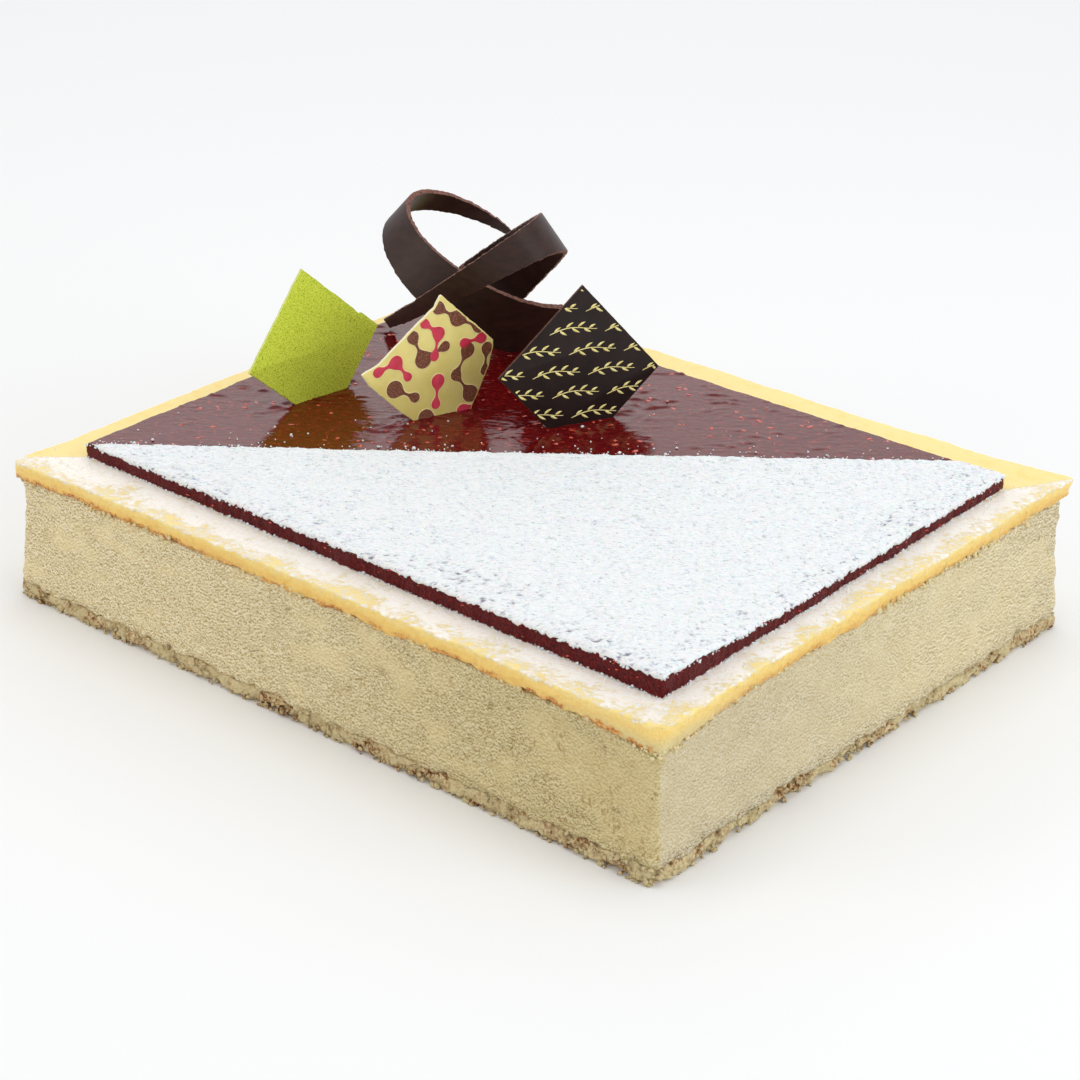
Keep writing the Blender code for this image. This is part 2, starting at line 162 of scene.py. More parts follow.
def dress(name, points, faces, surface, node=None, values=None):
    """A piece from points in millimetres and groups of faces, in place of a node if named."""
    points = np.clip(points, np.array(cad_low) / MM + BOX_MARGIN,
                     np.array(cad_high) / MM - BOX_MARGIN) * MM
    mesh = bpy.data.meshes.new(name)
    mesh.from_pydata(points, [], [tuple(face) for group in faces for face in group],
                     shade_flat=False)
    mesh.validate()
    for label, numbers in (values or {}).items():
        layer = mesh.attributes.new(label, "FLOAT", "POINT")
        layer.data.foreach_set("value", numbers.astype(np.float32))
    mesh.materials.append(surface)
    piece = bpy.data.objects.new(name, mesh)
    bpy.context.scene.collection.objects.link(piece)
    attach(piece, "root")
    if node:
        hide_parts(node)
    return piece


def linear(colour):
    """A colour as a screen shows it, 0 to 255, or a grey from 0 to 1, as linear values."""
    if isinstance(colour, (int, float)):
        return (colour, colour, colour, 1)
    if isinstance(colour, Field) or len(colour) == 4:
        return colour
    shares = np.array(colour) / 255
    return (*np.where(shares <= 0.04045, shares / 12.92, ((shares + 0.055) / 1.055) ** 2.4), 1)


def finish(name, roughness, shine=0.5, glow=0, reach=2, tint=(1, 0.2, 0.1), sockets=None):
    """A new material, which the calls after it add to.  Light glows through it to a reach."""
    global tree, shader
    made = bpy.data.materials.new(name)
    made.use_nodes = True
    tree = made.node_tree
    shader = tree.nodes["Principled BSDF"]
    plain = {"Roughness": roughness, "Specular IOR Level": shine, **(sockets or {})}
    if glow:
        plain.update({"Subsurface Weight": glow, "Subsurface Scale": reach * MM,
                      "Subsurface Radius": tint})
    for socket, value in plain.items():
        shader.inputs[socket].default_value = value
    return made


class Field:
    """A number or colour that varies over a surface."""

    def __init__(self, socket):
        self.socket = socket

    def __add__(self, other):
        return sum_of("ADD", self, other)

    def __sub__(self, other):
        return sum_of("SUBTRACT", self, other)

    def __mul__(self, other):
        return sum_of("MULTIPLY", self, other)

    def __truediv__(self, other):
        return sum_of("DIVIDE", self, other)


def field(kind, output, inputs, **settings):
    """A field from one new node of the material, its settings and what its inputs are given."""
    made = tree.nodes.new("ShaderNode" + kind)
    for setting, value in settings.items():
        setattr(made, setting, value)
    for socket, value in inputs.items():
        if isinstance(value, Field):
            tree.links.new(value.socket, made.inputs[socket])
        else:
            made.inputs[socket].default_value = value
    return Field(made.outputs[output])


def sum_of(operation, first, second):
    """A field from two fields or plain numbers."""
    return field("Math", 0, {0: first, 1: second}, operation=operation)


def grain(size, detail=3, stretch=(1, 1, 1), spread=0.55, turn=0, shift=(0, 0, 0)):
    """Noise with lumps of a size in millimetres, stretched along three axes, turned or shifted."""
    place = field("TexCoord", "Object", {})
    scaled = field("Mapping", 0, {"Vector": place, "Location": np.array(shift) * MM,
                                  "Rotation": (0, 0, math.radians(turn)), "Scale": stretch},
                   vector_type="TEXTURE")
    return field("TexNoise", "Fac", {"Vector": scaled, "Scale": 1 / (size * MM),
                                     "Detail": detail, "Roughness": spread})


def cells(size):
    """Distance to the nearest of many scattered points, a size apart in millimetres."""
    place = field("TexCoord", "Object", {})
    return field("TexVoronoi", "Distance", {"Vector": place, "Scale": 1 / (size * MM)})


def measured(label):
    """A number stored on the mesh."""
    return field("Attribute", "Fac", {}, attribute_name=label)


def ramp(factor, *stops):
    """Colours at places along a factor."""
    made = field("ValToRGB", 0, {"Fac": factor})
    elements = made.socket.node.color_ramp.elements
    while len(elements) < len(stops):
        elements.new(0.5)
    for element, (place, colour) in zip(elements, stops):
        element.position = place
        element.color = linear(colour)
    return made


def mixed(factor, first, second, blend="MIX"):
    """Two colours mixed by a factor."""
    return field("Mix", 2, {0: factor, 6: first, 7: linear(second)}, data_type="RGBA",
                 blend_type=blend)


def painted(colour):
    """Gives the latest finish its colour."""
    tree.links.new(colour.socket, shader.inputs["Base Color"])


def relief(*layers):
    """Gives it fine relief, from pairs of a height and its depth in millimetres."""
    normal = {}
    for height, depth in layers:
        bump = field("Bump", 0, {"Distance": depth * MM, "Height": height, **normal})
        normal = {"Normal": bump}
    tree.links.new(bump.socket, shader.inputs["Normal"])


def right_middle(flat):
    """1 along the middle of the right side, where the cheese is smeared down over the crumb."""
    return between(130, 133, flat[:, 0]) * between(96, 70, abs(flat[:, 1] - 4))


def crumb_gaps(spots):
    """How far crumbs have fallen out of the pressed edge along the right side."""
    return right_middle(spots) * np.maximum(lumps(spots, 3.4, 10, 2) - 0.15, 0)


crumb_profile = ((0.0, 1.0), (0.08, 1.5), (0.22, 2.0), (0.4, 2.3), (0.6, 2.4), (0.8, 2.2),
                 (0.92, 2.1), (1.0, 1.9))           # share of the height, and how far out
inner = outline(INNER_RING)[0]
crumb_rings = [raised(inner)]
for share, offset in crumb_profile:
    flat, facing = outline(offset)
    heights = share * pressed_line(flat)
    spots = raised(flat, heights)
    push = uneven(spots, 9, 1.2, 3)
    push += 0.6 * lumps(spots, 3.4, 3, 3) + 0.45 * lumps(spots, 1.2, 4, 2)
    push -= 1.7 * np.maximum(lumps(spots, 8, 5, 2) - 0.1, 0) * between(0.95, 0.7, share)
    push -= right_middle(flat) * between(0.6, 0, share) * (1.0 + lumps(spots, 5, 8, 2))
    push += right_middle(flat) * 0.6 * lumps(spots, 1.7, 9, 2)
    push -= 3.0 * crumb_gaps(spots) * between(0.3, 0.6, share)
    crumb_rings.append(raised(flat + facing * push[:, None], heights))
crumb_rings.append(raised(inner, base_top(inner)))

crumb_finish = finish("baked crumb", 0.9, shine=0.3)
speckles = grain(1.5, 4, spread=0.75)
smeared = grain(7) + measured("smeared") * 0.02
colour = ramp(speckles, (0.34, (78, 44, 24)), (0.43, (146, 100, 60)), (0.5, (196, 164, 116)),
              (0.6, (222, 204, 162)))
painted(mixed(ramp(smeared, (0.4, 0.0), (0.56, 0.8)), colour, (220, 204, 158)))
relief((cells(1.3), 0.7), (grain(0.5), 0.3))
points, faces = stacked(crumb_rings)
dress("crumb_base_edge", points, faces, crumb_finish, "crumb_base",
      {"smeared": right_middle(points) * between(133.6, 135.2, points[:, 0])
       * between(0.8, 2.6, points[:, 2])})

# ---- Cheese filling ---------------------------------------------------------------------
# Cream cheese, egg and sugar baked slowly until just set.  A hot knife cuts the sides: it leaves
# fine open pores, with patches where the blade has dragged the cheese smooth.

YELLOW_HEIGHT = 6.1
FILLING_ROWS = 60


def top_plane(flat):
    """Height of the yellow top, which rises a little to the right corner."""
    return CAKE_HEIGHT + 1.22 / 133.4 * flat[:, 0] + 0.98 / 108 * flat[:, 1]


def corner_fade(flat, side_x, side_y, spread):
    """1 at a corner of the block, fading away from it."""
    away = np.hypot(side_x * CAKE_LENGTH / 2 - flat[:, 0], side_y * CAKE_WIDTH / 2 - flat[:, 1])
    return np.exp(-(away / spread) ** 2)


def filling_top(flat):
    """Height of the filling under the yellow top, lowest at the near right corner."""
    return top_plane(flat) - YELLOW_HEIGHT - 2.6 * corner_fade(flat, 1, -1, 18)


def openness(spots):
    """1 where the cut cheese is open and crumbly, near 0 where the blade has dragged it smooth."""
    drawn = np.column_stack((spots[:, :2] / 14, spots[:, 2] / 7))
    above_foot = between(6, 12, spots[:, 2])
    on_right = between(130, 133, spots[:, 0]) * between(112, 70, spots[:, 1])
    dragged = between(0.1, 0.8, lumps(drawn, 1, 31, 3) + 0.7 * on_right
                      + 0.8 * corner_fade(spots, 1, -1, 55)) * above_foot
    return 1 - 0.7 * np.maximum(dragged, 0.6 * on_right * above_foot)


def pore_depth(spots):
    """How far the pits, holes and tears of the cut cheese lie in from its surface."""
    pits = np.maximum(lumps(spots, 1.8, 32) - 0.35, 0) * 0.9
    holes = np.maximum(lumps(spots, 3.4, 33, 2) - 0.8, 0) * 2.2
    leaning = spots @ np.array(((1, 0, 0), (0, 1, 0), (0.5, -0.4, 0.4)))
    tears = np.maximum(lumps(leaning, 3.0, 34) - 0.55, 0) * 0.9
    rough = 0.24 * lumps(spots, 1.4, 35, 2) + 0.18 * lumps(spots, 2.8, 38)
    coarse = between(13, 4, spots[:, 2]) * 0.3 * lumps(spots, 2.2, 39, 2)
    return openness(spots) * (pits + holes + tears + rough) + coarse


def torn(flat, heights, share):
    """Ragged flaps drawn out along the cut just under the yellow top."""
    drawn = lumps(np.column_stack((flat / 6, heights)), 1.3, 30, 2)
    return 0.4 * drawn * between(0.7, 0.95, share)


filling_profile = ((0.0, 1.85), (0.04, 2.05), (0.10, 2.1), (0.30, 1.4), (0.55, 0.6), (0.78, 0.2),
                   (0.92, 0.3), (0.985, 0.35), (1.0, -0.4))
filling_rings = [raised(inner, base_top(inner) + LAYER_GAP)]
opened = [np.ones(len(inner))]
for share in np.arange(FILLING_ROWS + 1) / FILLING_ROWS:
    flat, facing = outline(np.interp(share, *zip(*filling_profile)))
    low = pressed_line(flat) + 0.05
    heights = low + share * (filling_top(flat) - low)
    spots = raised(flat, heights)
    seam = between(0.78, 0.98, share)
    push = uneven(spots, 21, 0.8 * between(0, 0.06, share) * (1 - seam), 5)
    push += seam * (uneven(spots, 16, 0.8, 8) + 1.2 * corner_fade(flat, 1, -1, 45))
    push -= pore_depth(spots) - torn(flat, heights, share)
    knobbly = corner_fade(flat, 1, 1, 38) + 0.6 * corner_fade(flat, -1, -1, 12)
    push += 0.6 * lumps(spots, 5, 36, 2) * knobbly
    push += 0.8 * np.maximum(lumps(spots, 5, 37, 2), -0.3) * between(0.16, 0.02, share)
    push += 0.22 * lumps(spots, 4.5, 48, 2)
    push -= 1.6 * crumb_gaps(spots) * between(0.11, 0.02, share)
    filling_rings.append(raised(flat + facing * push[:, None], heights))
    opened.append(openness(spots))

filling_finish = finish("cream cheese", 0.62, shine=0.35, glow=0.12, tint=(1, 0.8, 0.45))
patches = grain(9)
pores = grain(0.72, spread=0.6)
# Painted light and shade on the pores: the noise minus the same noise moved up is lighter on the
# pores' upper sides and darker in them and on their undersides, as if lit from above.
above = grain(0.72, spread=0.6, shift=(0, 0, 0.34))
colour = ramp(patches, (0.36, (214, 194, 143)), (0.5, (221, 202, 153)), (0.64, (228, 212, 164)))
painted_slope_shade = pores - above + 0.5
painted_pore_light_and_shade = ramp(pores * 0.45 + painted_slope_shade * 0.55, (0.38, (176, 146, 94)), (0.45, (214, 194, 145)),
               (0.51, (230, 213, 166)), (0.58, (253, 243, 212)))
open_cut = measured("opened")
colour = mixed(open_cut * 0.65 + 0.3, colour, painted_pore_light_and_shade)
# Painted shade: dark pits on the near-left face, drawn in colour only.
painted_pit_shade = (ramp(grain(7, 2), (0.52, 0.0), (0.6, 1.0))
          * ramp(grain(1.1, 3, (1, 1, 1.5), 0.65), (0.4, 0.7), (0.47, 0.0))) * measured("near_left_painted_shade")
colour = mixed(painted_pit_shade, colour, (166, 132, 82))
# Painted shade and highlight on the knife's scratches on the right face: the same noise moved up
# gives each stroke a dark side and a light side.
drawn = grain(0.95, 3, (1, 1.5, 0.9), 0.5)
higher = grain(0.95, 3, (1, 1.5, 0.9), 0.5, shift=(0, 0, 0.34))
strokes = drawn - higher + 0.5
scratch_light_and_shade = measured("scratch_light_and_shade")
colour = mixed(scratch_light_and_shade * ramp(strokes, (0.38, 0.7), (0.46, 0.0)), colour, (170, 148, 100))
colour = mixed(scratch_light_and_shade * ramp(strokes, (0.56, 0.0), (0.64, 0.8)), colour, (250, 240, 208))
# Painted shade: the near-left face is made darker and greener towards the near corner.
colour = mixed(measured("near_left_painted_shade"), colour, (0.79, 0.77, 0.66, 1), "MULTIPLY")
# Painted shade: the right face is multiplied by a cool grey, strongest towards the near corner.
painted(mixed(measured("right_face_painted_shade"), colour, (0.79, 0.80, 0.87, 1), "MULTIPLY"))
relief((pores * open_cut, 0.8), (grain(2.2), 0.35))
points, faces = stacked(filling_rings)
x, y = points[:, 0], points[:, 1]
on_near_left = between(-106.8, -107.4, y)
on_right = between(131, 133, x) * (1 - on_near_left)
torn_here = lumps(points, 7, 40, 2) + 1.1 * between(-60, 100, y) - 0.4
# Three of these values mark where shade and highlights are painted on the cut faces.
dress("cheese_filling_cut", points, faces, filling_finish, "cheese_filling",
      {"opened": np.concatenate((*opened, [1, 1])), "near_left_painted_shade": on_near_left * between(-70, 130, x),
       "scratch_light_and_shade": on_right * between(-0.4, 1.0, torn_here),
       "right_face_painted_shade": on_right * (1 - 0.6 * between(-80, 60, y))})

# ---- Baked yellow top -------------------------------------------------------------------
# The richest part of the mix rises and sets as a smooth yellow layer.  It laps over the cut
# sides in a soft lip, with a thin orange baked skin under it, and sugar has drifted on to the
# two near borders.

BRUSH_TURN = 39                     # degrees, the way the sugar's drifts and the ripples run


def lip_reach(flat):
    """How much further the lip sticks out at the left and right corners."""
    return 0.8 * corner_fade(flat, -1, -1, 14) + 1.4 * corner_fade(flat, 1, 1, 14)


def through(stops, steps):
    """A smooth run of values through rows of numbers."""
    rows = np.array(stops, float)
    padded = np.concatenate((2 * rows[:1] - rows[1:2], rows, 2 * rows[-1:] - rows[-2:-1]))
    made = []
    for before, first, second, after in zip(padded, padded[1:], padded[2:], padded[3:]):
        for t in np.arange(steps) / steps:
            made.append(0.5 * (2 * first + (second - before) * t
                               + (2 * before - 5 * first + 4 * second - after) * t * t
                               + (3 * first - before - 3 * second + after) * t ** 3))
    return [*made, rows[-1]]


lip_stops = ((-1.6, YELLOW_HEIGHT - LAYER_GAP, 0.3, 0.5), (0.0, 5.75, 0.8, 0.8),
             (0.55, 5.2, 0.8, 0.8), (0.7, 3.8, 0.5, 0.8), (0.85, 2.0, 0.2, 0.8),
             (0.95, 0.9, 0, 0.8), (0.9, 0.3, 0, 0.8), (0.5, 0.0, 0, 0.7),
             (-1.0, 0.0, 0, 0.5))       # how far out, depth, wave and roughness
border_rows = [(-offset, 0, 0, 0.5 * max(0, 1 - (offset - 1) / 6))
               for offset in np.arange(1.9, 30, 1.45)]
top_rings = []
fall = []
for offset, depth, wave, rough in [*through(lip_stops, 4), *border_rows]:
    flat, facing = outline(offset, (1, 6 - 4 * min(1, depth / 5), 1, 8))
    spots = raised(flat, top_plane(flat) - depth)
    push = uneven(spots, 16, rough, 8) + lip_reach(flat)
    push += 1.2 * corner_fade(flat, 1, -1, 45) * min(1, 0.25 + depth / 5)
    push += 0.32 * rough * lumps(spots, 1.6, 43, 2)
    push += 0.4 * rough * lumps(spots, 5, 47, 2) * between(3, 0.5, depth)
    flat = flat + facing * (push / np.max(abs(facing), axis=1))[:, None]
    ripple = uneven(raised(flat), 13, wave, 8)
    curl = 1.0 * corner_fade(flat, 1, 1, 28) * between(-9, -1, offset)
    sag = 2.6 * corner_fade(flat, 1, -1, 18) * depth / YELLOW_HEIGHT
    heights = top_plane(flat) - depth - sag + ripple + curl
    low_edge = between(3.6, 5.6, depth)
    spots = raised(flat, heights)
    heights = heights + low_edge * (0.5 * lumps(spots, 2.4, 41, 2) + 0.3 * lumps(spots, 7, 49)
                                    - 0.4)
    flat = flat + facing * (low_edge * 0.35 * lumps(spots, 3.1, 42, 2))[:, None]
    top_rings.append(raised(flat, heights))
    fall.append(np.full(len(flat), depth))
underside = top_rings[0]
underside[:, 2] = np.maximum(underside[:, 2], filling_top(underside[:, :2]) + LAYER_GAP)

points, faces = stacked(top_rings)
fall = np.concatenate((*fall, [YELLOW_HEIGHT, 0]))
x, y = points[:, 0], points[:, 1]
near_left = between(1.5, -1.5, y + 91.5 - 3 * between(-122, -116, x)
                    + 0.8 * np.maximum(-119 - x, 0))
near_right = between(120, 122, x) * between(2, -1, y - 88 - 1.5 * np.maximum(x - 121, 0))
dusted = np.maximum(near_left, near_right)
dusted *= between(1.7, 0.2, fall + 0.7 * lumps(points, 2.5, 46))
from_side = np.minimum(CAKE_LENGTH / 2 - abs(x), CAKE_WIDTH / 2 - abs(y))
dusted *= 1 - 0.26 * between(9, 0, from_side)
red_part = corner_fade(points[:, :2], 1, -1, 34) + 0.8 * between(-40, -80, x)
skinned = between(4.3, 4.7, fall + 0.6 * lumps(points, 1.6, 44, 2))
skinned *= between(-0.5, 0.1, lumps(points, 5, 45, 2) + 0.5 * np.minimum(red_part, 1))
on_right = between(130, 133, x)
skinned *= (0.15 + 0.85 * between(-102, -106, y) * (1 - on_right)
            + 0.45 * on_right * between(-95, -60, y) * between(60, 20, y))

top_finish = finish("baked yellow top", 0.5, glow=0.15, reach=3, tint=(1, 0.7, 0.3))
yolk = ramp(grain(9), (0.35, (253, 218, 120)), (0.65, (255, 230, 146)))
low = measured("fall")
streaks = grain(1.6, 4, (3, 3, 1), 0.65) * 1.1
side = ramp((low / YELLOW_HEIGHT + streaks) / 1.6, (0.34, (255, 230, 156)), (0.5, (253, 218, 130)),
            (0.7, (249, 204, 106)), (0.88, (234, 180, 92)))
yolk = mixed(0.8, yolk, side)
lower = ramp(low / YELLOW_HEIGHT, (0.3, 0.0), (0.75, 1.0))
yolk = mixed(measured("pale") * lower, yolk, (226, 210, 152))
skin = ramp(grain(1.0, 4), (0.38, (176, 104, 40)), (0.5, (214, 142, 58)), (0.62, (238, 182, 98)))
yolk = mixed(measured("skinned"), yolk, skin)
dust = measured("dusted")
drift = grain(1.25, 5, (1.6, 1, 1), 0.7, turn=BRUSH_TURN) + grain(12, 2) * 0.55
cover = ramp((drift + dust * 0.7 - 1.2) * 6.0, (0.0, 0.0), (1.0, 1.0))
powder = ramp(grain(0.9, 4, (1.6, 1, 1), 0.68, turn=BRUSH_TURN), (0.34, (248, 230, 208)),
              (0.44, (255, 244, 231)), (0.6, (255, 250, 243)))
painted(mixed(cover, yolk, powder))
rough_side = grain(0.9) * sum_of("MINIMUM", low, 1.0)
relief((cover, 0.16), (rough_side, 0.9), (grain(0.7), 0.1))
dress("yellow_top_lip", points, faces, top_finish, "baked_top",
      {"fall": fall, "dusted": dusted, "skinned": skinned,
       "pale": corner_fade(points[:, :2], 1, -1, 30)})

# ---- Raspberry jelly --------------------------------------------------------------------
# Sieved raspberry set with gelatine, cut square and laid on the top.  The bare half is glossy,
# with shallow ripples and bits of fruit; its cut sides are dark and duller.

JELLY_CORNERS = np.array(((-119.2, -91.6), (124.6, -96.2), (121.6, 89.3), (-122.8, 89.3)))
JELLY_THICKNESS = 4.6
JELLY_CELLS = (290, 220)
SUGAR_START = np.array((-115.5, -91.7))
SUGAR_END = np.array((107.3, 89.3))
BRUSHED = math.radians(BRUSH_TURN)
# Where each tile stands, which way it is turned, and half its width at the jelly.
TILE_FEET = ((-93.9, -10.2, 82.9, 17), (-52.2, -5.0, 72.4, 15), (-11.7, 32.7, 64.9, 20))


def unit(along):
    """Arrows of the same directions, one long."""
    return along / np.linalg.norm(along, axis=-1, keepdims=True)


def sugar_side(flat):
    """Distance from the line where the sugar ends, below zero on the sugared half."""
    along = unit(SUGAR_END - SUGAR_START)
    return along[0] * (flat[:, 1] - SUGAR_START[1]) - along[1] * (flat[:, 0] - SUGAR_START[0])


def jelly_top(flat):
    """The set jelly's height, thicker along the near edge and most at its near right corner."""
    along = np.clip((flat[:, 0] + 170) / 190, 0, 1)
    edge = along * np.exp(-((flat[:, 1] + 96.2) / 40) ** 2)
    at_corner = np.exp(-(np.hypot(*(flat - JELLY_CORNERS[1]).T) / 28) ** 2)
    return top_plane(flat) + JELLY_THICKNESS + 1.4 * edge + 0.9 * at_corner


def by_foot(flat, spread):
    """1 along the feet of the tiles, fading away from them."""
    most = np.zeros(len(flat))
    for x, y, heading, half in TILE_FEET:
        along = np.array((math.cos(math.radians(heading)), math.sin(math.radians(heading))))
        away = flat - (x, y)
        run = np.clip(away @ along, -half, half)
        gap = np.linalg.norm(away - run[:, None] * along, axis=1)
        most = np.maximum(most, np.exp(-(gap / spread) ** 2))
    return most


def jelly_relief(flat):
    """Ripples and sunk bits on the bare half."""
    bare = np.clip((sugar_side(flat) - 1) / 5, 0, 1)
    spots = raised(flat)
    broad = uneven(spots * (1, 0.4, 1), 9, 0.5, 11)
    run = flat @ np.array((math.cos(BRUSHED), math.sin(BRUSHED)))
    deep = flat @ np.array((-math.sin(BRUSHED), math.cos(BRUSHED)))
    bend = lumps(spots, 14, 51) * 3
    brushed = lumps(np.column_stack((run / 3.2, deep + bend, 0 * run)), 2.2, 52, 2)
    busy = between(0.0, 0.6, lumps(spots, 22, 53)) + 2.4 * by_foot(flat, 8)
    crest = np.maximum(brushed - 0.45, 0) * (0.12 + (busy + 1.3 * between(34, 56, deep)))
    stirred = 0.14 * lumps(spots * (1, 0.6, 1), 2.3, 56, 2) * by_foot(flat, 9)
    return bare * (0.1 * broad + 0.42 * crest + stirred + 0.5 * by_foot(flat, 1.6))


def rim_of(columns, rows):
    """Grid places round the rim of a slab, in order."""
    rim = [(column, 0) for column in range(columns)]
    rim += [(columns, row) for row in range(rows)]
    rim += [(column, rows) for column in range(columns, 0, -1)]
    rim += [(0, row) for row in range(rows, 0, -1)]
    return tuple(np.array(rim).T)


def laid_out(corners, cells, raggedness, inset):
    """A grid inside four corners, its ragged edge, and the way outwards along that edge."""
    across, along = np.meshgrid(*(np.arange(count + 1) / count for count in cells), indexing="ij")
    near = corners[0] + (corners[1] - corners[0]) * across[..., None]
    far = corners[3] + (corners[2] - corners[3]) * across[..., None]
    grid = near + (far - near) * along[..., None]
    rim = rim_of(*cells)
    edge = grid[rim]
    out = unit(edge - corners.mean(axis=0))
    edge = edge + out * raggedness(edge)[:, None]
    grid[rim] = edge - out * inset
    return grid, edge, out


def grid_faces(number):
    """Faces of a grid of point numbers."""
    return np.stack((number[:-1, :-1], number[1:, :-1], number[1:, 1:], number[:-1, 1:]),
                    axis=-1).reshape(-1, 4)


def slab(grid, heights, rings):
    """A slab: a grid for its top, and rings from its rim down to its underside."""
    wide, long = grid.shape[:2]
    number = np.arange(wide * long).reshape(wide, long)
    count = len(rings[0])
    last = wide * long + len(rings) * count
    rows = [number[rim_of(wide - 1, long - 1)],
            *np.arange(wide * long, last).reshape(-1, count)]
    points = [raised(grid.reshape(-1, 2), heights.ravel()), *rings, [rings[-1].mean(axis=0)]]
    return np.concatenate(points), [grid_faces(number), *walls(rows[::-1]), cap(rows[-1], last)]


def cut_edge(flat):
    """How ragged the knife has left the jelly's edge."""
    return uneven(raised(flat), 8, 0.6, 15) + 0.28 * lumps(raised(flat), 1.8, 54, 2)


grid, edge, out = laid_out(JELLY_CORNERS, JELLY_CELLS, cut_edge, 0.35)
flat = grid.reshape(-1, 2)
heights = (jelly_top(flat) + jelly_relief(flat)).reshape(grid.shape[:2])
edge_top = jelly_top(edge)
rings = []
for share, swell in ((0.06, 0.0), (0.2, 0.1), (0.4, 0.12), (0.6, 0.1), (0.8, 0.05), (0.93, 0.05),
                     (1.0, 0.0)):
    levels = edge_top + share * (top_plane(edge) + 0.06 - edge_top)
    rough = 0.2 * lumps(raised(edge, levels), 1.5, 55, 2)
    rings.append(raised(edge + out * (swell + rough)[:, None], levels))
points, faces = slab(grid, heights, rings)
down = jelly_top(points[:, :2]) - points[:, 2]
up = points[:, 2] - top_plane(points[:, :2])
caught = 0.42 * between(1.3, 0.1, up) + 0.3 * between(1.1, 0, down)
caught *= np.maximum(between(-86, -89, points[:, 1]), between(117, 120, points[:, 0]))
caught[:len(flat)] = 0

jelly_finish = finish("raspberry jelly", 0.07, glow=0.2, reach=4, tint=(1, 0.12, 0.08),
                      sockets={"IOR": 1.34})
painted(ramp(grain(1.1, 4, (1.8, 1, 1), 0.6, turn=BRUSH_TURN), (0.36, (80, 6, 10)),
             (0.5, (94, 10, 12)), (0.62, (108, 16, 17)), (0.71, (166, 54, 42))))
relief((grain(1.5, 3, (2.6, 1, 1), 0.5, turn=BRUSH_TURN), 0.1))
piece = dress("jelly_slab_set", points, faces, jelly_finish, "jelly_slab",
              {"caught": caught})
cut_jelly = finish("cut raspberry jelly", 0.42, 0.3, 0.15, 3, (1, 0.12, 0.08), {"IOR": 1.34})
flecks = ramp(grain(0.7, spread=0.7), (0.36, (44, 2, 8)), (0.45, (80, 5, 10)), (0.6, (98, 9, 13)),
              (0.7, (146, 44, 38)))
dusting = ramp(grain(1.2, 4, spread=0.7) + measured("caught"), (0.84, 0.0), (0.9, 1.0))
painted(mixed(dusting, flecks, (250, 238, 230)))
relief((grain(0.9), 0.5))


def second_finish(piece, surface, first, last=None):
    """Another material on the faces of a piece from the first to before the last."""
    piece.data.materials.append(surface)
    chosen = np.zeros(len(piece.data.polygons), np.int32)
    chosen[first:last] = 1
    piece.data.polygons.foreach_set("material_index", chosen)


second_finish(piece, cut_jelly, len(faces[0]))

# ---- Sifted sugar -----------------------------------------------------------------------
# Icing sugar shaken through a sieve over the near half of the jelly.  It lies as a damp crust
# with small clumps, thin spots where the jelly shows, and a broken edge.

SUGAR_CELLS = (330, 250)


def sifted_edge(flat):
    """How ragged the sugar's edge is."""
    spots = raised(flat)
    broken = 0.5 * lumps(spots, 6, 61, 2) + 0.8 * lumps(spots, 1.4, 62)
    return uneven(spots, 8, 0.4, 15) + broken * 0.5


corner_middle = (JELLY_CORNERS[0] + JELLY_CORNERS[1] + JELLY_CORNERS[2]) / 3
sugar_corners = np.array((SUGAR_START, JELLY_CORNERS[1], JELLY_CORNERS[2], SUGAR_END))
sugar_corners = sugar_corners + unit(corner_middle - sugar_corners) * 0.3
grid, edge, out = laid_out(sugar_corners, SUGAR_CELLS, sifted_edge, 0)
flat = grid.reshape(-1, 2)
spots = raised(flat)
clumps = 0.28 * lumps(spots, 1.6, 63, 2) + 0.16 * np.maximum(lumps(spots, 3.2, 64, 2), 0)
from_edge = np.minimum(JELLY_CORNERS[1][0] - 2 - flat[:, 0], flat[:, 1] + 95)
bare_part = 0.7 * lumps(spots, 16, 66) + 1.1 * between(22, 2, from_edge)
thin = np.maximum(lumps(spots, 1.4, 65, 2) - 0.5, 0) * between(0.2, 0.9, bare_part)
heights = jelly_top(flat) + LAYER_GAP + 0.8 + uneven(spots, 11, 0.3, 21) + clumps - 1.1 * thin
heights = heights.reshape(grid.shape[:2])
heights[rim_of(*SUGAR_CELLS)] -= 0.4
over = between(0, 4, -sugar_side(edge))
hang = over * np.maximum(0.9 + 0.7 * lumps(raised(edge), 1.5, 67, 2), 0.1)
edge_top = jelly_top(edge) + LAYER_GAP
rings = [raised(edge + out * (0.45 * over)[:, None], edge_top + 0.1 - 0.4 * hang),
         raised(edge + out * (0.4 * over)[:, None], edge_top - 0.1 - hang),
         raised(edge - out * (0.5 * over)[:, None], edge_top - 0.1 - 0.8 * hang)]
below_middle = edge.mean(axis=0)
for share in (0.99, 0.85, 0.7, 0.55, 0.4, 0.25, 0.1):
    below = below_middle + (edge - below_middle) * share
    rings.append(raised(below, jelly_top(below) + LAYER_GAP - 0.1))
points, faces = slab(grid, heights, rings)
thinness = np.zeros(len(points))
thinness[:len(flat)] = thin

sugar_finish = finish("icing sugar", 0.85, 0.3, 0.2, 1, sockets={"Sheen Weight": 0.1})
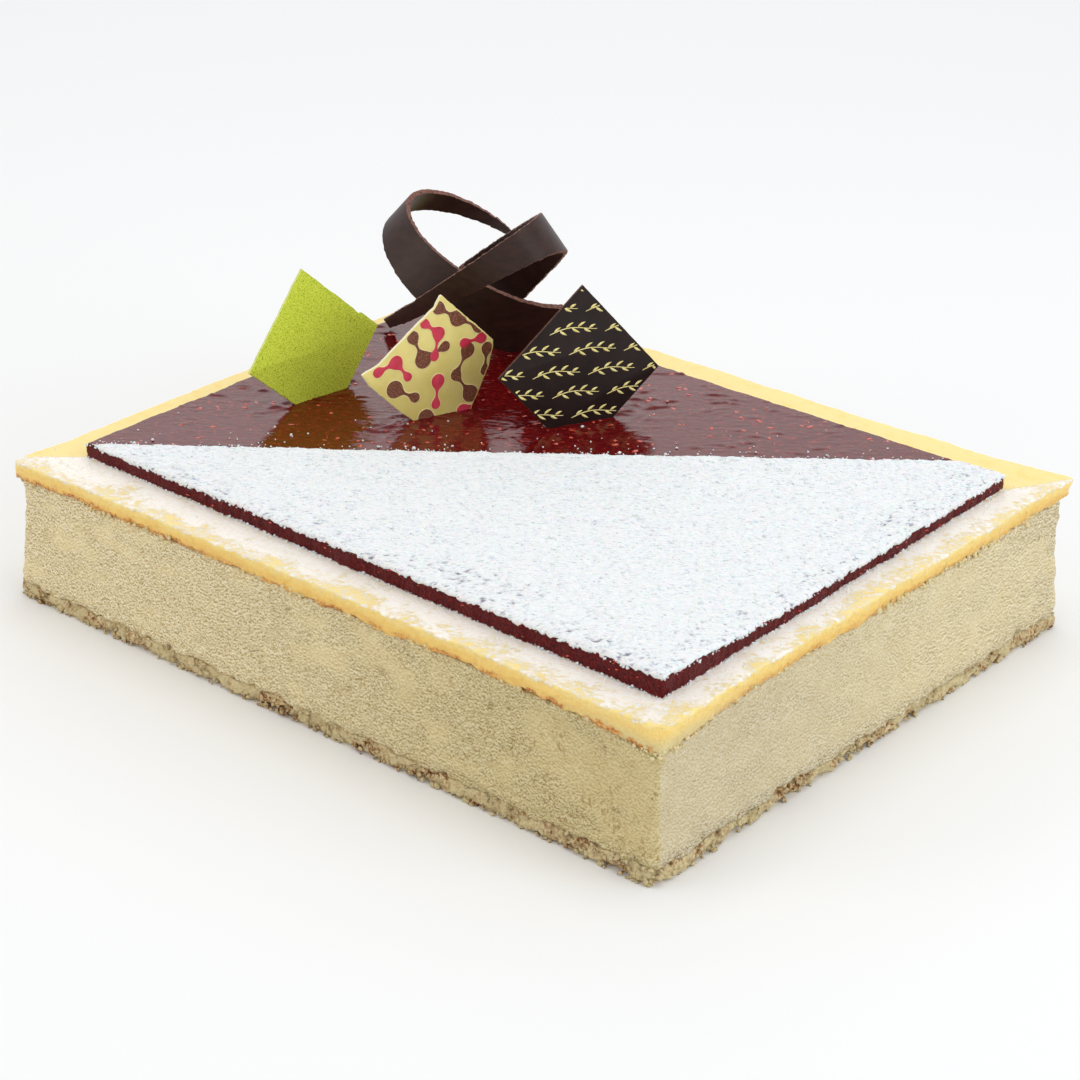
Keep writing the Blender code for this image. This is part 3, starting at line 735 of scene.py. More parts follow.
# Painted shade in the sugar's colour: the noise minus the same noise moved towards the near side
# darkens the near faces of its bumps to blue-grey, and its hollows are painted darker too.
fine = grain(1.1, 4, (1.5, 1, 1), 0.68, turn=BRUSH_TURN)
nearer = grain(1.1, 4, (1.5, 1, 1), 0.68, turn=BRUSH_TURN, shift=(-0.22, 0.27, 0))
painted_slope_shade = fine - nearer + 0.5
colour = ramp(painted_slope_shade * 0.65 - fine * 0.35 + 0.35, (0.44, (253, 253, 253)), (0.53, (243, 246, 248)),
              (0.575, (218, 224, 231)), (0.63, (158, 166, 182)))
holes = ramp(measured("thin"), (0.1, 0.0), (0.5, 1.0))
painted(mixed(holes, colour, (146, 145, 164)))
relief((fine, 0.8), (grain(2.4), 0.4))
dress("icing_sugar_crust", points, faces, sugar_finish, "icing_sugar",
      {"thin": thinness})

# ---- Loose sugar, fruit and crumbs ------------------------------------------------------
# What has fallen or stuck: sugar grains along the broken edge, on the jelly's cut sides and on
# the near borders, bits of raspberry set in the jelly, and crumbs at the foot and the seam.

golden = (1 + 5 ** 0.5) / 2
GRAIN_POINTS = np.array([(-1, golden, 0), (1, golden, 0), (-1, -golden, 0), (1, -golden, 0),
                         (0, -1, golden), (0, 1, golden), (0, -1, -golden), (0, 1, -golden),
                         (golden, 0, -1), (golden, 0, 1), (-golden, 0, -1), (-golden, 0, 1)])
GRAIN_POINTS /= np.linalg.norm(GRAIN_POINTS[0])
GRAIN_FACES = np.array([(0, 11, 5), (0, 5, 1), (0, 1, 7), (0, 7, 10), (0, 10, 11), (1, 5, 9),
                        (5, 11, 4), (11, 10, 2), (10, 7, 6), (7, 1, 8), (3, 9, 4), (3, 4, 2),
                        (3, 2, 6), (3, 6, 8), (3, 8, 9), (4, 9, 5), (2, 4, 11), (6, 2, 10),
                        (8, 6, 7), (9, 8, 1)])
SUGARED = ((-122, -96), (124, 89))  # a box round the jelly
# How many places are tried for each kind, or how many bits there are.
SPILL_TRIES, PEARL_TRIES, DRIFT_TRIES, CAUGHT_GRAINS = 60000, 900, 13000, 1300
CLUMP_TRIES, CLUMPS, FRUIT_TRIES, FRUIT_BITS, FRUIT_AT_EDGE = 24000, 2400, 1400, 420, 70
BASE_CRUMBS, FALLEN_CRUMBS, SEAM_CRUMBS = 2300, 90, 1500
chance = np.random.default_rng(20)


def strewn(name, places, sizes, surface, flatness=1.0, length=1.0, jitter=0.22):
    """Small irregular bits, one at each place, each turned its own way."""
    count = len(places)
    turns = np.linalg.qr(chance.normal(size=(count, 3, 3)))[0]
    shapes = GRAIN_POINTS * (1 + jitter * chance.normal(size=(count, 12, 1)))
    shapes = np.einsum("nij,nkj->nki", turns, shapes * np.array((length, 1, 1)))
    shapes = shapes * np.array((1, 1, flatness)) * (np.asarray(sizes) / 2)[:, None, None]
    points = (shapes + places[:, None, :]).reshape(-1, 3)
    faces = (GRAIN_FACES[None] + 12 * np.arange(count)[:, None, None]).reshape(-1, 3)
    dress(name, points, [faces], surface)


def along_edge(count):
    """Random places along the jelly's two near edges, with each edge's outward normal."""
    corners = JELLY_CORNERS[:3]
    runs = np.linalg.norm(np.diff(corners, axis=0), axis=1)
    edge = chance.choice(len(runs), count, p=runs / runs.sum())
    share = chance.random(count)[:, None]
    start, end = corners[edge], corners[edge + 1]
    along = (end - start) / runs[edge][:, None]
    return start + (end - start) * share, np.column_stack((along[:, 1], -along[:, 0]))


def inside_slab(flat, margin=0.0):
    """Whether places are on the jelly, at least a margin from its edge."""
    kept = np.ones(len(flat), bool)
    for first, second in zip(JELLY_CORNERS, np.roll(JELLY_CORNERS, -1, axis=0)):
        along = unit(second - first)
        away = flat - first
        kept &= along[0] * away[:, 1] - along[1] * away[:, 0] > margin
    return kept


# Sugar spilled past its broken edge on to the bare jelly, with some larger pearls.
flat = chance.uniform(*SUGARED, (SPILL_TRIES, 2))
beyond = sugar_side(flat)
kept = (beyond > -0.6) & (chance.random(len(flat)) < np.exp(-np.maximum(beyond, 0) / 1.5) * 0.8)
kept |= (beyond > 0) & (chance.random(len(flat)) < 0.012 * np.exp(-beyond / 14))
flat = flat[kept & inside_slab(flat, 0.5)]
spill = raised(flat, jelly_top(flat) + jelly_relief(flat) + 0.1)
spill_sizes = chance.uniform(0.35, 0.8, len(flat))
pearls = chance.uniform((-110, -90), (118, 80), (PEARL_TRIES, 2))
beyond = sugar_side(pearls)
kept = (beyond > 0.8) & (chance.random(len(pearls)) < 0.34 * np.exp(-beyond / 7))
pearls = pearls[kept & inside_slab(pearls, 2)]
pearl_sizes = chance.uniform(0.9, 1.35, len(pearls))

# Grains caught on the jelly's two near cut sides, thickest at the top and bottom of the cut.
flat, facing = along_edge(CAUGHT_GRAINS)
share = chance.random(len(flat))
share = np.where(share < 0.3, share * 0.5, 1.05 - (1 - share) ** 2 * 0.35)
levels = jelly_top(flat) + share * (top_plane(flat) - jelly_top(flat))
caught = raised(flat + facing * chance.uniform(0.1, 0.5, (len(flat), 1)), levels)
caught_sizes = 0.25 + 0.85 * chance.random(len(flat)) ** 2

# Drifted sugar on the two near borders of the yellow top.
flat = chance.uniform((-134, -108), (134, 104), (DRIFT_TRIES, 2))
edge = np.minimum(CAKE_LENGTH / 2 - abs(flat[:, 0]), CAKE_WIDTH / 2 - abs(flat[:, 1]))
near = (flat[:, 1] < -92) | (flat[:, 0] > 123)
near &= ~inside_slab(flat, -0.5) & (edge > 0.5)
near &= lumps(raised(flat), 5, 71, 2) > -0.35 + 0.9 * between(5, 0.5, edge)
drifted = raised(flat[near], top_plane(flat[near]) + 0.05)
drifted_sizes = chance.uniform(0.35, 0.95, len(drifted))

strewn("stray_sugar", np.concatenate((spill, raised(pearls, jelly_top(pearls) + 0.35), caught)),
       np.concatenate((spill_sizes, pearl_sizes, caught_sizes)), sugar_finish)
drift_finish = finish("damp drifted sugar", 0.8, glow=0.2, reach=1)
painted(ramp(grain(6), (0.3, (250, 238, 216)), (0.6, (252, 246, 236))))
strewn("drifted_sugar", drifted, drifted_sizes, drift_finish, flatness=0.45)

# Clumps on the sugar crust.
flat = chance.uniform(*SUGARED, (CLUMP_TRIES, 2))
flat = flat[(sugar_side(flat) < -0.5) & inside_slab(flat, 0.8)][:CLUMPS]
places = raised(flat, jelly_top(flat) + LAYER_GAP + 0.85 + uneven(raised(flat), 11, 0.3, 21))
strewn("sugar_clumps", places, chance.uniform(0.5, 1.15, len(flat)), sugar_finish,
       flatness=0.6)

# Bits of raspberry set in the jelly.
fruit_finish = finish("raspberry bits", 0.2, glow=0.4, sockets={
    "Base Color": linear((214, 76, 52)), "Coat Weight": 0.6})
flat = chance.uniform((-120, -90), (122, 88), (FRUIT_TRIES, 2))
flat = flat[(sugar_side(flat) > 1.5) & inside_slab(flat, 1.5)][:FRUIT_BITS]
bits = raised(flat, jelly_top(flat) + jelly_relief(flat) - 0.1)
bit_sizes = 0.6 + 1.5 * chance.random(len(flat)) ** 2
flat, facing = along_edge(FRUIT_AT_EDGE)
levels = jelly_top(flat) - chance.uniform(0, 1, len(flat)) ** 2 * 4.5
strewn("raspberry_bits", np.concatenate((bits, raised(flat, levels))),
       np.concatenate((bit_sizes, chance.uniform(0.5, 1.2, len(flat)))), fruit_finish,
       flatness=0.25, length=1.9)

# Biscuit crumbs along the pressed edge and a few fallen at the foot.
ring, facing = outline(1.6)
chosen = chance.integers(0, len(ring), BASE_CRUMBS)
chosen = chosen[chance.random(BASE_CRUMBS) > 0.2 * right_middle(ring[chosen])]
recess = -0.8 * right_middle(ring[chosen])[:, None]
flat = ring[chosen] + facing[chosen] * (recess + chance.uniform(-0.2, 1.1, (len(chosen), 1)))
levels = chance.random(len(chosen)) ** 1.3 * pressed_line(ring[chosen])
crumb_sizes = 0.5 + 1.9 * chance.random(len(chosen)) ** 2.5
fallen = chance.integers(0, len(ring), FALLEN_CRUMBS)
fallen = fallen[right_middle(ring[fallen]) < 0.5]
fallen_flat = ring[fallen] + facing[fallen] * chance.uniform(0.4, 1.5, (len(fallen), 1))
strewn("biscuit_crumbs", np.concatenate((raised(flat, levels + 0.2), raised(fallen_flat, 0.3))),
       np.concatenate((crumb_sizes, chance.uniform(0.6, 1.3, len(fallen)))), crumb_finish,
       jitter=0.3)

# Crumbs of cheese drawn up by the knife along the seam under the yellow top.
ring, facing = outline(0.45)
near_sides = np.flatnonzero((ring[:, 1] < -100) | (ring[:, 0] > 130))
chosen = chance.choice(near_sides, SEAM_CRUMBS)
flat, facing = ring[chosen], facing[chosen]
levels = (filling_top(flat) + 0.3 - 1.8 * chance.random(SEAM_CRUMBS) ** 1.5
          + 1.1 * chance.random(SEAM_CRUMBS) ** 2)
push = uneven(raised(flat, levels), 16, 0.8, 8) + 1.2 * corner_fade(flat, 1, -1, 45)
kept = lumps(raised(flat), 9, 75, 2) > chance.uniform(-0.4, 1.0, SEAM_CRUMBS)
flat = flat + facing * (push + chance.uniform(-0.15, 0.3, SEAM_CRUMBS))[:, None]
torn_finish = finish("torn cream cheese", 0.7, glow=0.2)
painted(ramp(grain(3), (0.35, (212, 190, 138)), (0.65, (232, 214, 166))))
strewn("cheese_crumbs", raised(flat, levels)[kept], 0.4 + 1.2 * chance.random(kept.sum()) ** 2,
       torn_finish, length=1.4)

# ---- Green tile -------------------------------------------------------------------------
# White chocolate cast thin, broken square, chilled and sprayed with green cocoa butter, which
# sets as a fine velvet of dots.  It is pushed a little way into the jelly.

TILE_FRONT = 1.0                    # the seen face, forward of the tile's middle plane
TILE_THICKNESS = 1.2
GREEN_SIDE = 40.3


def stand(place, heading, lean, tip):
    """A tile's place, and how it is turned, leant back and tipped."""
    return place, (Matrix.Rotation(math.radians(heading), 3, "Z")
                   @ Matrix.Rotation(math.radians(-lean), 3, "X")
                   @ Matrix.Rotation(math.radians(-tip), 3, "Y"))


def standing(flat, depth, where):
    """Points of a tile's own upright plane, some way in from it, in the cake's frame."""
    place, turn = where
    points = np.column_stack((flat[:, 0], np.broadcast_to(depth, len(flat)), flat[:, 1]))
    return points @ np.array(turn).T + np.array(place)


def broken_edge(corners, step, amount, seed):
    """An outline with points close together and a slightly uneven edge."""
    corners = np.array(corners, float)
    ring = []
    for first, second in zip(corners, np.roll(corners, -1, axis=0)):
        count = max(1, round(np.linalg.norm(second - first) / step))
        ring += [first + (second - first) * share / count for share in range(count)]
    ring = np.array(ring)
    along = unit(np.roll(ring, -1, axis=0) - np.roll(ring, 1, axis=0))
    out = np.column_stack((along[:, 1], -along[:, 0]))
    rough = amount * lumps(raised(ring), 2.5, seed, 2)
    return ring + out * rough[:, None], out


def tile(name, edge, bevel, where, surface, edge_colours, node):
    """A thin plate in its place, with flat faces front and back and a softened, snapped edge."""
    ring, out = edge
    slight, back = bevel * 0.3, TILE_THICKNESS
    steps = ((bevel, 0), (slight, slight), (0, bevel), (0, back - bevel),
             (slight, back - slight), (bevel, back))
    points = [standing(ring - out * inset, depth - TILE_FRONT, where) for inset, depth in steps]
    rows = np.arange(len(steps) * len(ring)).reshape(len(steps), -1)
    piece = dress(name, np.concatenate(points), [*walls(rows), rows[:1, ::-1], rows[-1:]],
                  surface, node)
    piece.data.set_sharp_from_angle(angle=math.radians(35))
    snapped = finish(name + " snapped edge", 0.6, shine=0.3)
    painted(ramp(grain(0.9), (0.35, edge_colours[0]), (0.65, edge_colours[1])))
    relief((grain(0.7), 0.2))
    second_finish(piece, snapped, len(ring), 4 * len(ring))


def square(side):
    """The corners of a square stood on one of them."""
    half = side / math.sqrt(2)
    return [(0, -half), (half, 0), (0, half), (-half, 0)]


half = GREEN_SIDE / math.sqrt(2)
chip = [(half * 0.77, half * 0.23), (half * 0.73, half * 0.23), (half * 0.67, half * 0.33 - 0.6)]
green_corners = square(GREEN_SIDE)
green_corners[2:2] = chip           # a small piece has broken from the upper right edge
green_finish = finish("green cocoa butter velvet", 0.85, 0.08, sockets={"Sheen Weight": 0.1})
dots = grain(0.34, 2, spread=0.6)
painted(ramp(dots, (0.34, (104, 124, 10)), (0.42, (190, 204, 50)), (0.55, (216, 226, 83))))
relief((dots, 0.2))
tile("green_chocolate_tile", broken_edge(green_corners, 0.8, 0.12, 81), 0.3,
     stand((-93.9, -10.2, 71.1), 82.9, 9.6, 3.5), green_finish,
     ((196, 206, 96), (222, 228, 150)), "green_tile")

# ---- Cream tile -------------------------------------------------------------------------
# Pale white chocolate poured over a printed transfer sheet: brown and raspberry coloured cocoa
# butter spots, run together by thin necks.  It is snapped to shape by hand.

NECK = 0.4                          # half the width of the necks between spots
RUN = 2.2                           # how far spots and necks run into each other
PRINT_STEP = 0.3
PRINT_BOX = ((-20.5, -5.5), (32, 43.5))     # the part of the tile that is printed
cream_stand = stand((-52.2, -5.0, 54.9), 72.4, 3.0, 0)
cream_corners = [(5.5, -5), (19.5, -5), (22.1, 0.2), (27, 9.6), (29.4, 14.6), (31.3, 21.4),
                 (31.3, 23.4), (11.3, 42.7), (10.6, 42.5), (8.6, 39), (1.9, 34.3), (-12.9, 23),
                 (-19.6, 20.3), (-16.9, 15.7), (-5.7, 4.9)]
cream_edge = broken_edge(cream_corners, 0.8, 0.15, 82)
BROWN_CHAINS = (                    # each spot's place and radius, joined in order by necks
    ((9.8, 38.6, 2.3), (17.2, 33.6, 2.9), (25.4, 29.0, 2.0)),
    ((-0.2, 30.0, 2.2), (3.6, 21.4, 3.1), (12.2, 24.6, 1.8)),
    ((-7.6, 13.0, 3.1), (0.2, 8.6, 1.7)),
    ((21.0, 21.6, 2.7), (16.2, 13.6, 1.9), (21.8, 5.8, 3.0)),
    ((28.6, 21.0, 2.1), (27.6, 13.0, 1.5)),
    ((4.2, 0.6, 3.0), (12.4, -2.2, 2.2)))
BERRY_CHAINS = (
    ((-13.8, 20.2, 1.8), (-6.8, 22.4, 2.4), (-2.4, 16.4, 1.4)),
    ((4.4, 34.0, 1.6), (9.8, 29.6, 2.3), (8.0, 21.8, 1.6)),
    ((26.6, 25.0, 1.9), (19.6, 24.4, 1.6)),
    ((9.2, 12.8, 2.5), (8.2, 4.6, 1.6)),
    ((26.0, 2.2, 1.8), (18.6, 0.4, 2.2)))


def from_line(flat, start, end):
    """Distance to a straight line between two points."""
    along, away = np.array(end) - start, flat - start
    share = np.clip(away @ along / (along @ along), 0, 1)
    return np.linalg.norm(away - share[:, None] * along, axis=1)


def blobs(flat, chains):
    """Distance to round spots joined by thin necks, run together smoothly; below zero inside."""
    nearest = np.full(len(flat), 50.0)
    for chain in chains:
        joined = np.full(len(flat), 50.0)
        parts = [np.hypot(flat[:, 0] - x, flat[:, 1] - z) - radius for x, z, radius in chain]
        parts += [from_line(flat, spot[:2], after[:2]) - NECK
                  for spot, after in zip(chain, chain[1:])]
        for part in parts:
            close = np.maximum(RUN - abs(joined - part), 0) / RUN
            joined = np.minimum(joined, part) - close * close * RUN * 0.25
        nearest = np.minimum(nearest, joined)
    return nearest


def outside(flat, ring):
    """Distance out from a closed outline, below zero inside it."""
    nearest = np.full(len(flat), 1e9)
    crossings = np.zeros(len(flat), int)
    for start, end in zip(ring, np.roll(ring, -1, axis=0)):
        nearest = np.minimum(nearest, from_line(flat, start, end))
        straddles = (start[1] > flat[:, 1]) != (end[1] > flat[:, 1])
        rise = np.where(straddles, end[1] - start[1], 1)
        crossings += straddles & (flat[:, 0] < start[0] + (flat[:, 1] - start[1])
                                  * (end[0] - start[0]) / rise)
    return np.where(crossings % 2 == 1, -nearest, nearest)


def printed(distance, low, high, step):
    """Flat polygons where a distance is below zero, cut cleanly along its zero line."""
    runs = [np.arange(low[axis], high[axis] + step, step) for axis in (0, 1)]
    spots = np.stack(np.meshgrid(*runs, indexing="ij"), axis=-1)
    values = distance(spots.reshape(-1, 2)).reshape(spots.shape[:2])
    points, faces, made = [], [], {}

    def corner(key, place):
        if key not in made:
            made[key] = len(points)
            points.append(place)
        return made[key]

    inside = values < 0
    touched = inside[:-1, :-1] | inside[1:, :-1] | inside[1:, 1:] | inside[:-1, 1:]
    for column, row in np.argwhere(touched):
        around = ((column, row), (column + 1, row), (column + 1, row + 1), (column, row + 1))
        polygon = []
        for first, second in zip(around, around[1:] + around[:1]):
            before, after = values[first], values[second]
            if before < 0:
                polygon.append(corner(first, spots[first]))
            if (before < 0) != (after < 0):
                place = spots[first] + (spots[second] - spots[first]) * (before / (before - after))
                polygon.append(corner((min(first, second), max(first, second)), place))
        if len(polygon) > 2:
            faces.append(polygon)
    return np.array(points), faces


def transfer(name, flat, faces, proud, where, surface):
    """A printed layer on a tile's face: a thin closed skin, its back just inside the chocolate."""
    count = len(flat)
    points = [standing(flat, depth, where) for depth in (-TILE_FRONT - proud, -TILE_FRONT + 0.05)]
    open_sides = {}
    for face in faces:
        for first, second in zip(face, face[1:] + face[:1]):
            if (second, first) in open_sides:
                del open_sides[second, first]
            else:
                open_sides[first, second] = True
    backs = [[count + corner for corner in reversed(face)] for face in faces]
    rim = [(second, first, count + first, count + second) for first, second in open_sides]
    dress(name, np.concatenate(points), (faces, backs, rim), surface)


cream_finish = finish("pale white chocolate", 0.4, glow=0.15, tint=(1, 0.8, 0.4))
painted(ramp(grain(7), (0.35, (222, 204, 116)), (0.65, (230, 214, 130))))
relief((grain(3), 0.05))
tile("cream_chocolate_tile", cream_edge, 0.25, cream_stand, cream_finish,
     ((236, 226, 184), (246, 240, 214)), "cream_tile")

halo_finish = finish("pale run of cocoa butter", 0.4)
painted(ramp(grain(3), (0.3, (236, 214, 140)), (0.7, (240, 224, 160))))
brown_finish = finish("brown cocoa butter", 0.5)
painted(ramp(grain(0.55, 2, (1.5, 1, 0.8)), (0.35, (94, 46, 28)), (0.52, (118, 64, 40)),
             (0.68, (150, 98, 70))))
berry_finish = finish("raspberry cocoa butter", 0.4)
painted(ramp(grain(4), (0.35, (196, 40, 66)), (0.65, (214, 62, 84))))
for name, chains, grown, proud, surface in (
        ("brown_spots", BROWN_CHAINS, 0, 0.06, brown_finish),
        ("brown_spot_rims", BROWN_CHAINS, 0.3, 0.03, halo_finish),
        ("berry_spots", BERRY_CHAINS, 0, 0.09, berry_finish),
        ("berry_spot_rims", BERRY_CHAINS, 0.3, 0.03, halo_finish)):
    def ink(flat):
        """Distance to the print, which ends inside the tile's edge."""
        return np.maximum(blobs(flat, chains) - grown, outside(flat, cream_edge[0][::2]) + 0.5)

    flat, faces = printed(ink, *PRINT_BOX, PRINT_STEP)
    transfer(name, flat, faces, proud, cream_stand, surface)

# ---- Dark tile --------------------------------------------------------------------------
# Dark chocolate set on a transfer sheet printed in pale gold: rows of small leafy sprigs, one
# row set off from the next, cut through wherever the tile's edge falls.

DARK_SIDE = 42.2
dark_stand = stand((-11.7, 32.7, 73.1), 64.9, 7.3, -3.7)
dark_edge = broken_edge(square(DARK_SIDE), 1.0, 0.05, 83)
dark_finish = finish("dark chocolate tile", 0.45, shine=0.15)
painted(ramp(grain(6), (0.3, (30, 19, 17)), (0.7, (40, 27, 24))))
relief((grain(5), 0.08))
tile("dark_chocolate_tile", dark_edge, 0.2, dark_stand, dark_finish,
     ((58, 36, 28), (104, 70, 52)), "dark_tile")

SPRIG_LENGTH = 17.5
SPRIG_PITCH = (20.5, 7.3)
ROW_SHIFT = 7.4                     # how far each row is set back from the one below
SPRIG_LEAVES = ((1.6, 50, 2.8), (3.6, -42, 3.0), (5.8, 48, 3.2), (8.0, -40, 3.3), (10.2, 44, 3.2),
                (12.4, -36, 3.0), (14.4, 38, 2.6))      # place on the stem, angle and length


def ribbon(spine, widths):
    """Left and right points of a stroke of changing width."""
    along = unit(np.gradient(spine, axis=0))
    out = np.column_stack((-along[:, 1], along[:, 0])) * (widths / 2)[:, None]
    return spine + out, spine - out


def sprig():
    """The strokes of one sprig: a bent stem and almond leaves to either side."""
    run = np.linspace(0, SPRIG_LENGTH, 32)
    stem = np.column_stack((run, 1.1 * np.sin(run / SPRIG_LENGTH * 4.2) + 0.12 * run))
    strokes = [ribbon(stem, np.interp(run, (0, 2, SPRIG_LENGTH), (0.2, 0.38, 0.2)))]
    for start, angle, length in SPRIG_LEAVES:
        foot = np.array((start, np.interp(start, run, stem[:, 1])))
        share = np.linspace(0, 1, 12)
        bend = math.radians(angle) + share * math.radians(-angle * 0.55)
        steps = np.column_stack((np.cos(bend), np.sin(bend))) * length / 11
        spine = foot + np.cumsum(steps, axis=0)
        strokes.append(ribbon(spine, 0.08 + 0.75 * np.sin(np.pi * share ** 0.8)))
    return strokes


flat, quads = [], []
for row in range(-5, 6):
    for column in range(-3, 3):
        start = np.array((column * SPRIG_PITCH[0] - row * ROW_SHIFT + 3.0,
                          row * SPRIG_PITCH[1] - 1.0))
        for left, right in sprig():
            count = len(left)
            quads += [(index, index + 1, count + index + 1, count + index)
                      for index in range(len(flat), len(flat) + count - 1)]
            flat += [*(left + start), *(right + start)]
flat = np.array(flat)
keep = outside(flat, dark_edge[0][::2]) < -0.4
used, quads = np.unique([quad for quad in quads if keep[list(quad)].all()], return_inverse=True)
gold_finish = finish("pale gold cocoa butter", 0.4)
painted(ramp(grain(1.2, 2), (0.3, (224, 204, 112)), (0.7, (246, 234, 168))))
transfer("gold_sprigs", flat[used], quads.reshape(-1, 4)[:, ::-1].tolist(), 0.06, dark_stand,
         gold_finish)

# ---- Chocolate loops --------------------------------------------------------------------
# Tempered dark chocolate spread thin, cut into long triangles and curled round a form before it
# sets.  The spread faces are satin; the knife leaves rough, paler edges.

LOOP_STEPS = 260
LOOP_ROWS = 12
LOOP_THICKNESS = 2.0
LOOP_HEADING = 39.3                 # degrees, the way both strips face
LEFT_LOOP = dict(
    centre=(-89.0, 74.3, 90.1), roll=22.9, pitch=14.3, radius=33.5, spread=3.6, oval=0.75,
    oval_turn=-22.5, rise=1.25, width=14.4, widening=5.2, leans=(0.30, 0.04, -0.136),
    start=318, middle=200, end=62)
RIGHT_LOOP = dict(
    centre=(-88.7, 68.8, 85.7), roll=-37.6, pitch=-13.75, radius=45.2, spread=-10.9, oval=0.47,
    oval_turn=-53.4, rise=0, width=15.8, widening=4.74, leans=(0,),
    start=193, middle=340, end=500)


def strip_grid(centre, roll, pitch, radius, spread, oval, oval_turn, rise, width, widening, leans,
               start, middle, end):
    """The middle surface of a curled strip: places by step and by share of its width."""
    angle = np.radians(np.linspace(start, end, LOOP_STEPS + 1))[:, None]
    share = np.linspace(0, 1, LOOP_ROWS + 1)[None, :]
    turned = angle - math.radians(middle)
    oval_turn = math.radians(oval_turn)
    far = radius + spread * turned
    long, short = np.cos(angle - oval_turn), oval * np.sin(angle - oval_turn)
    upper = np.stack((far * (long * math.cos(oval_turn) - short * math.sin(oval_turn)),
                      far * (long * math.sin(oval_turn) + short * math.cos(oval_turn)),
                      rise * turned), axis=-1)
    lean = sum(term * turned ** power for power, term in enumerate(leans))
    down = np.stack((np.cos(angle) * np.sin(lean), np.sin(angle) * np.sin(lean), -np.cos(lean)),
                    axis=-1)
    rough = 0.18 * lumps(np.column_stack((angle * 60, 0 * angle, 0 * angle)), 2.2, 91, 3)
    near_edge = np.where(share < 0.5, -np.exp(-share * 30), np.exp(-(1 - share) * 30))
    across = (width + widening * turned) * share + near_edge * rough[:, None]
    tilt = (Matrix.Rotation(math.radians(LOOP_HEADING), 3, "Z")
            @ Matrix.Rotation(math.radians(roll), 3, "Y")
            @ Matrix.Rotation(math.radians(pitch), 3, "X"))
    grid = (upper + down * across[..., None]).reshape(-1, 3) @ np.array(tilt).T + centre
    grid[:, 2] = np.maximum(grid[:, 2], jelly_top(grid[:, :2]) - 0.6)
    return grid.reshape(LOOP_STEPS + 1, LOOP_ROWS + 1, 3)


def curled(grid, thickness, seed):
    """A closed strip: its two faces, and rough cut edges all round."""
    wide, long = grid.shape[:2]
    normal = unit(np.cross(np.gradient(grid, axis=0), np.gradient(grid, axis=1)).reshape(-1, 3))
    flat = grid.reshape(-1, 3)
    wavy = 0.06 * lumps(flat, 7, seed)[:, None]
    points = [flat + normal * (thickness / 2 + wavy), flat - normal * (thickness / 2 - wavy)]
    count = len(flat)
    number = np.arange(count).reshape(wide, long)
    faces = [grid_faces(number), count + grid_faces(number)[:, ::-1]]
    rim = rim_of(wide - 1, long - 1)
    upper = number[rim]
    middle = flat[upper]
    inner = grid[np.clip(rim[0], 1, wide - 2), np.clip(rim[1], 1, long - 2)]
    out = unit(middle - inner)
    rows = [upper]
    for index, cut in enumerate((0.78, 0.4, 0.0, -0.4, -0.78)):
        place = middle + normal[upper] * thickness / 2 * cut
        rough = 0.12 + 0.2 * lumps(place, 1.1, seed + 1, 2) * (1 - abs(cut) ** 3)
        points.append(place + out * rough[:, None])
        rows.append(2 * count + index * len(upper) + np.arange(len(upper)))
    rows.append(count + upper)
    return np.concatenate(points), faces + walls(rows[::-1])


loop_finish = finish("curled dark chocolate", 0.42, shine=0.3)
painted(ramp(grain(5, 4, (1, 1, 0.4)), (0.3, (42, 24, 19)), (0.7, (58, 35, 28))))
relief((grain(4, 2), 0.1), (grain(0.6, 2), 0.03))
cut_finish = finish("cut dark chocolate", 0.65)
painted(ramp(grain(0.8), (0.35, (84, 48, 38)), (0.6, (138, 90, 74))))
relief((grain(0.6), 0.3))
for side, loop, seed in (("left", LEFT_LOOP, 92), ("right", RIGHT_LOOP, 95)):
    points, faces = curled(strip_grid(**loop), LOOP_THICKNESS, seed)
    piece = dress("curled_loop_" + side, points, faces, loop_finish,
                  "chocolate_loop_" + side)
    second_finish(piece, cut_finish, 2 * len(faces[0]))
    piece.data.set_sharp_from_angle(angle=math.radians(40))

# ---- Stage, light and camera ------------------------------------------------------------
# A pale floor under soft studio light with a bright backdrop behind, seen from the near right
# corner and a little above.

FLOOR_REACH = 3.0
floor_mesh = bpy.data.meshes.new("floor")
floor_mesh.from_pydata([(-FLOOR_REACH, -FLOOR_REACH, 0), (FLOOR_REACH, -FLOOR_REACH, 0),
                        (FLOOR_REACH, FLOOR_REACH, 0), (-FLOOR_REACH, FLOOR_REACH, 0)],
                       [], [(0, 1, 2, 3)])
floor = bpy.data.objects.new("floor", floor_mesh)
bpy.context.scene.collection.objects.link(floor)
floor_mesh.materials.append(finish("pale floor", 0.9, 0.1,
                                   sockets={"Base Color": (0.9, 0.9, 0.9, 1)}))

world = bpy.data.worlds.new("white studio")
world.use_nodes = True
world.node_tree.nodes["Background"].inputs["Color"].default_value = (0.97, 0.985, 1, 1)
world.node_tree.nodes["Background"].inputs["Strength"].default_value = 0.78
bpy.context.scene.world = world
bpy.context.scene.view_settings.view_transform = "Standard"


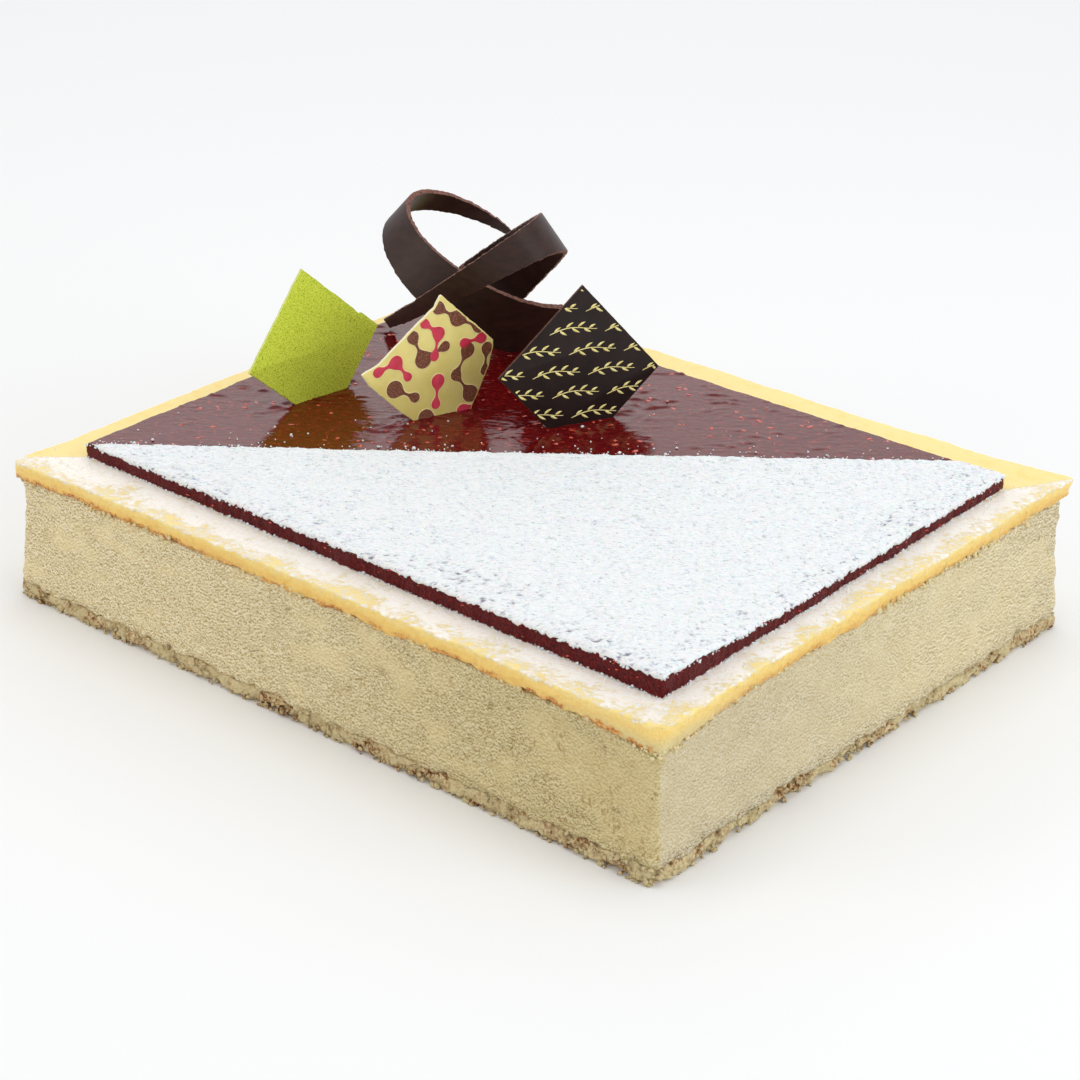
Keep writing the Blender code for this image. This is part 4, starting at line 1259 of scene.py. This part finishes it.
def softbox(name, place, aim, size, brightness, colour=(1, 1, 1)):
    """A rectangular light whose face has the given brightness."""
    lamp = bpy.data.lights.new(name, "AREA")
    lamp.shape = "RECTANGLE"
    lamp.size, lamp.size_y = size
    lamp.energy = brightness * size[0] * size[1] * math.pi
    lamp.color = colour
    light = bpy.data.objects.new(name, lamp)
    light.location = place
    light.rotation_euler = (Vector(aim) - Vector(place)).to_track_quat("-Z", "Y").to_euler()
    bpy.context.scene.collection.objects.link(light)


softbox("backdrop light", (-1.05, 1.28, 0.85), (0, 0, 0.05), (1.6, 0.75), 0.8)
softbox("overhead softbox", (0.0, 0.0, 1.1), (0, 0, 0.04), (0.8, 0.8), 1.25)
softbox("right softbox", (1.4, 0.25, 0.62), (0.1, 0, 0.04), (1.2, 1.0), 1.7, (0.92, 0.97, 1.0))
softbox("left softbox", (-0.95, -1.3, 0.62), (0, 0, 0.04), (0.8, 0.8), 1.8, (1.0, 0.88, 0.7))

CAMERA_ANGLES = (39.28, 25.73, 1.70)        # round the cake, above it, and rolled, in degrees
CAMERA_OFFSETS = (0.92895, 0.001, 0.0231)   # back from the cake's middle, right and up
IMAGE_SIZE = 1080
FOCAL_LENGTH = 2757.39                      # in the image's pixels

around, above, roll = (math.radians(angle) for angle in CAMERA_ANGLES)
back = Vector((math.sin(around) * math.cos(above), -math.cos(around) * math.cos(above),
               math.sin(above)))
right = Vector((math.cos(around), math.sin(around), 0))
up = back.cross(right)
turned_right = right * math.cos(roll) + up * math.sin(roll)
turned_up = up * math.cos(roll) - right * math.sin(roll)
camera_data = bpy.data.cameras.new("camera")
camera_data.sensor_width = 36
camera_data.lens = FOCAL_LENGTH / IMAGE_SIZE * camera_data.sensor_width
camera = bpy.data.objects.new("camera", camera_data)
back_by, right_by, up_by = CAMERA_OFFSETS
place = back * back_by + turned_right * right_by + turned_up * up_by
camera.matrix_world = (Matrix.Translation(place)
                       @ Matrix((turned_right, turned_up, back)).transposed().to_4x4())
bpy.context.scene.collection.objects.link(camera)
bpy.context.scene.camera = camera
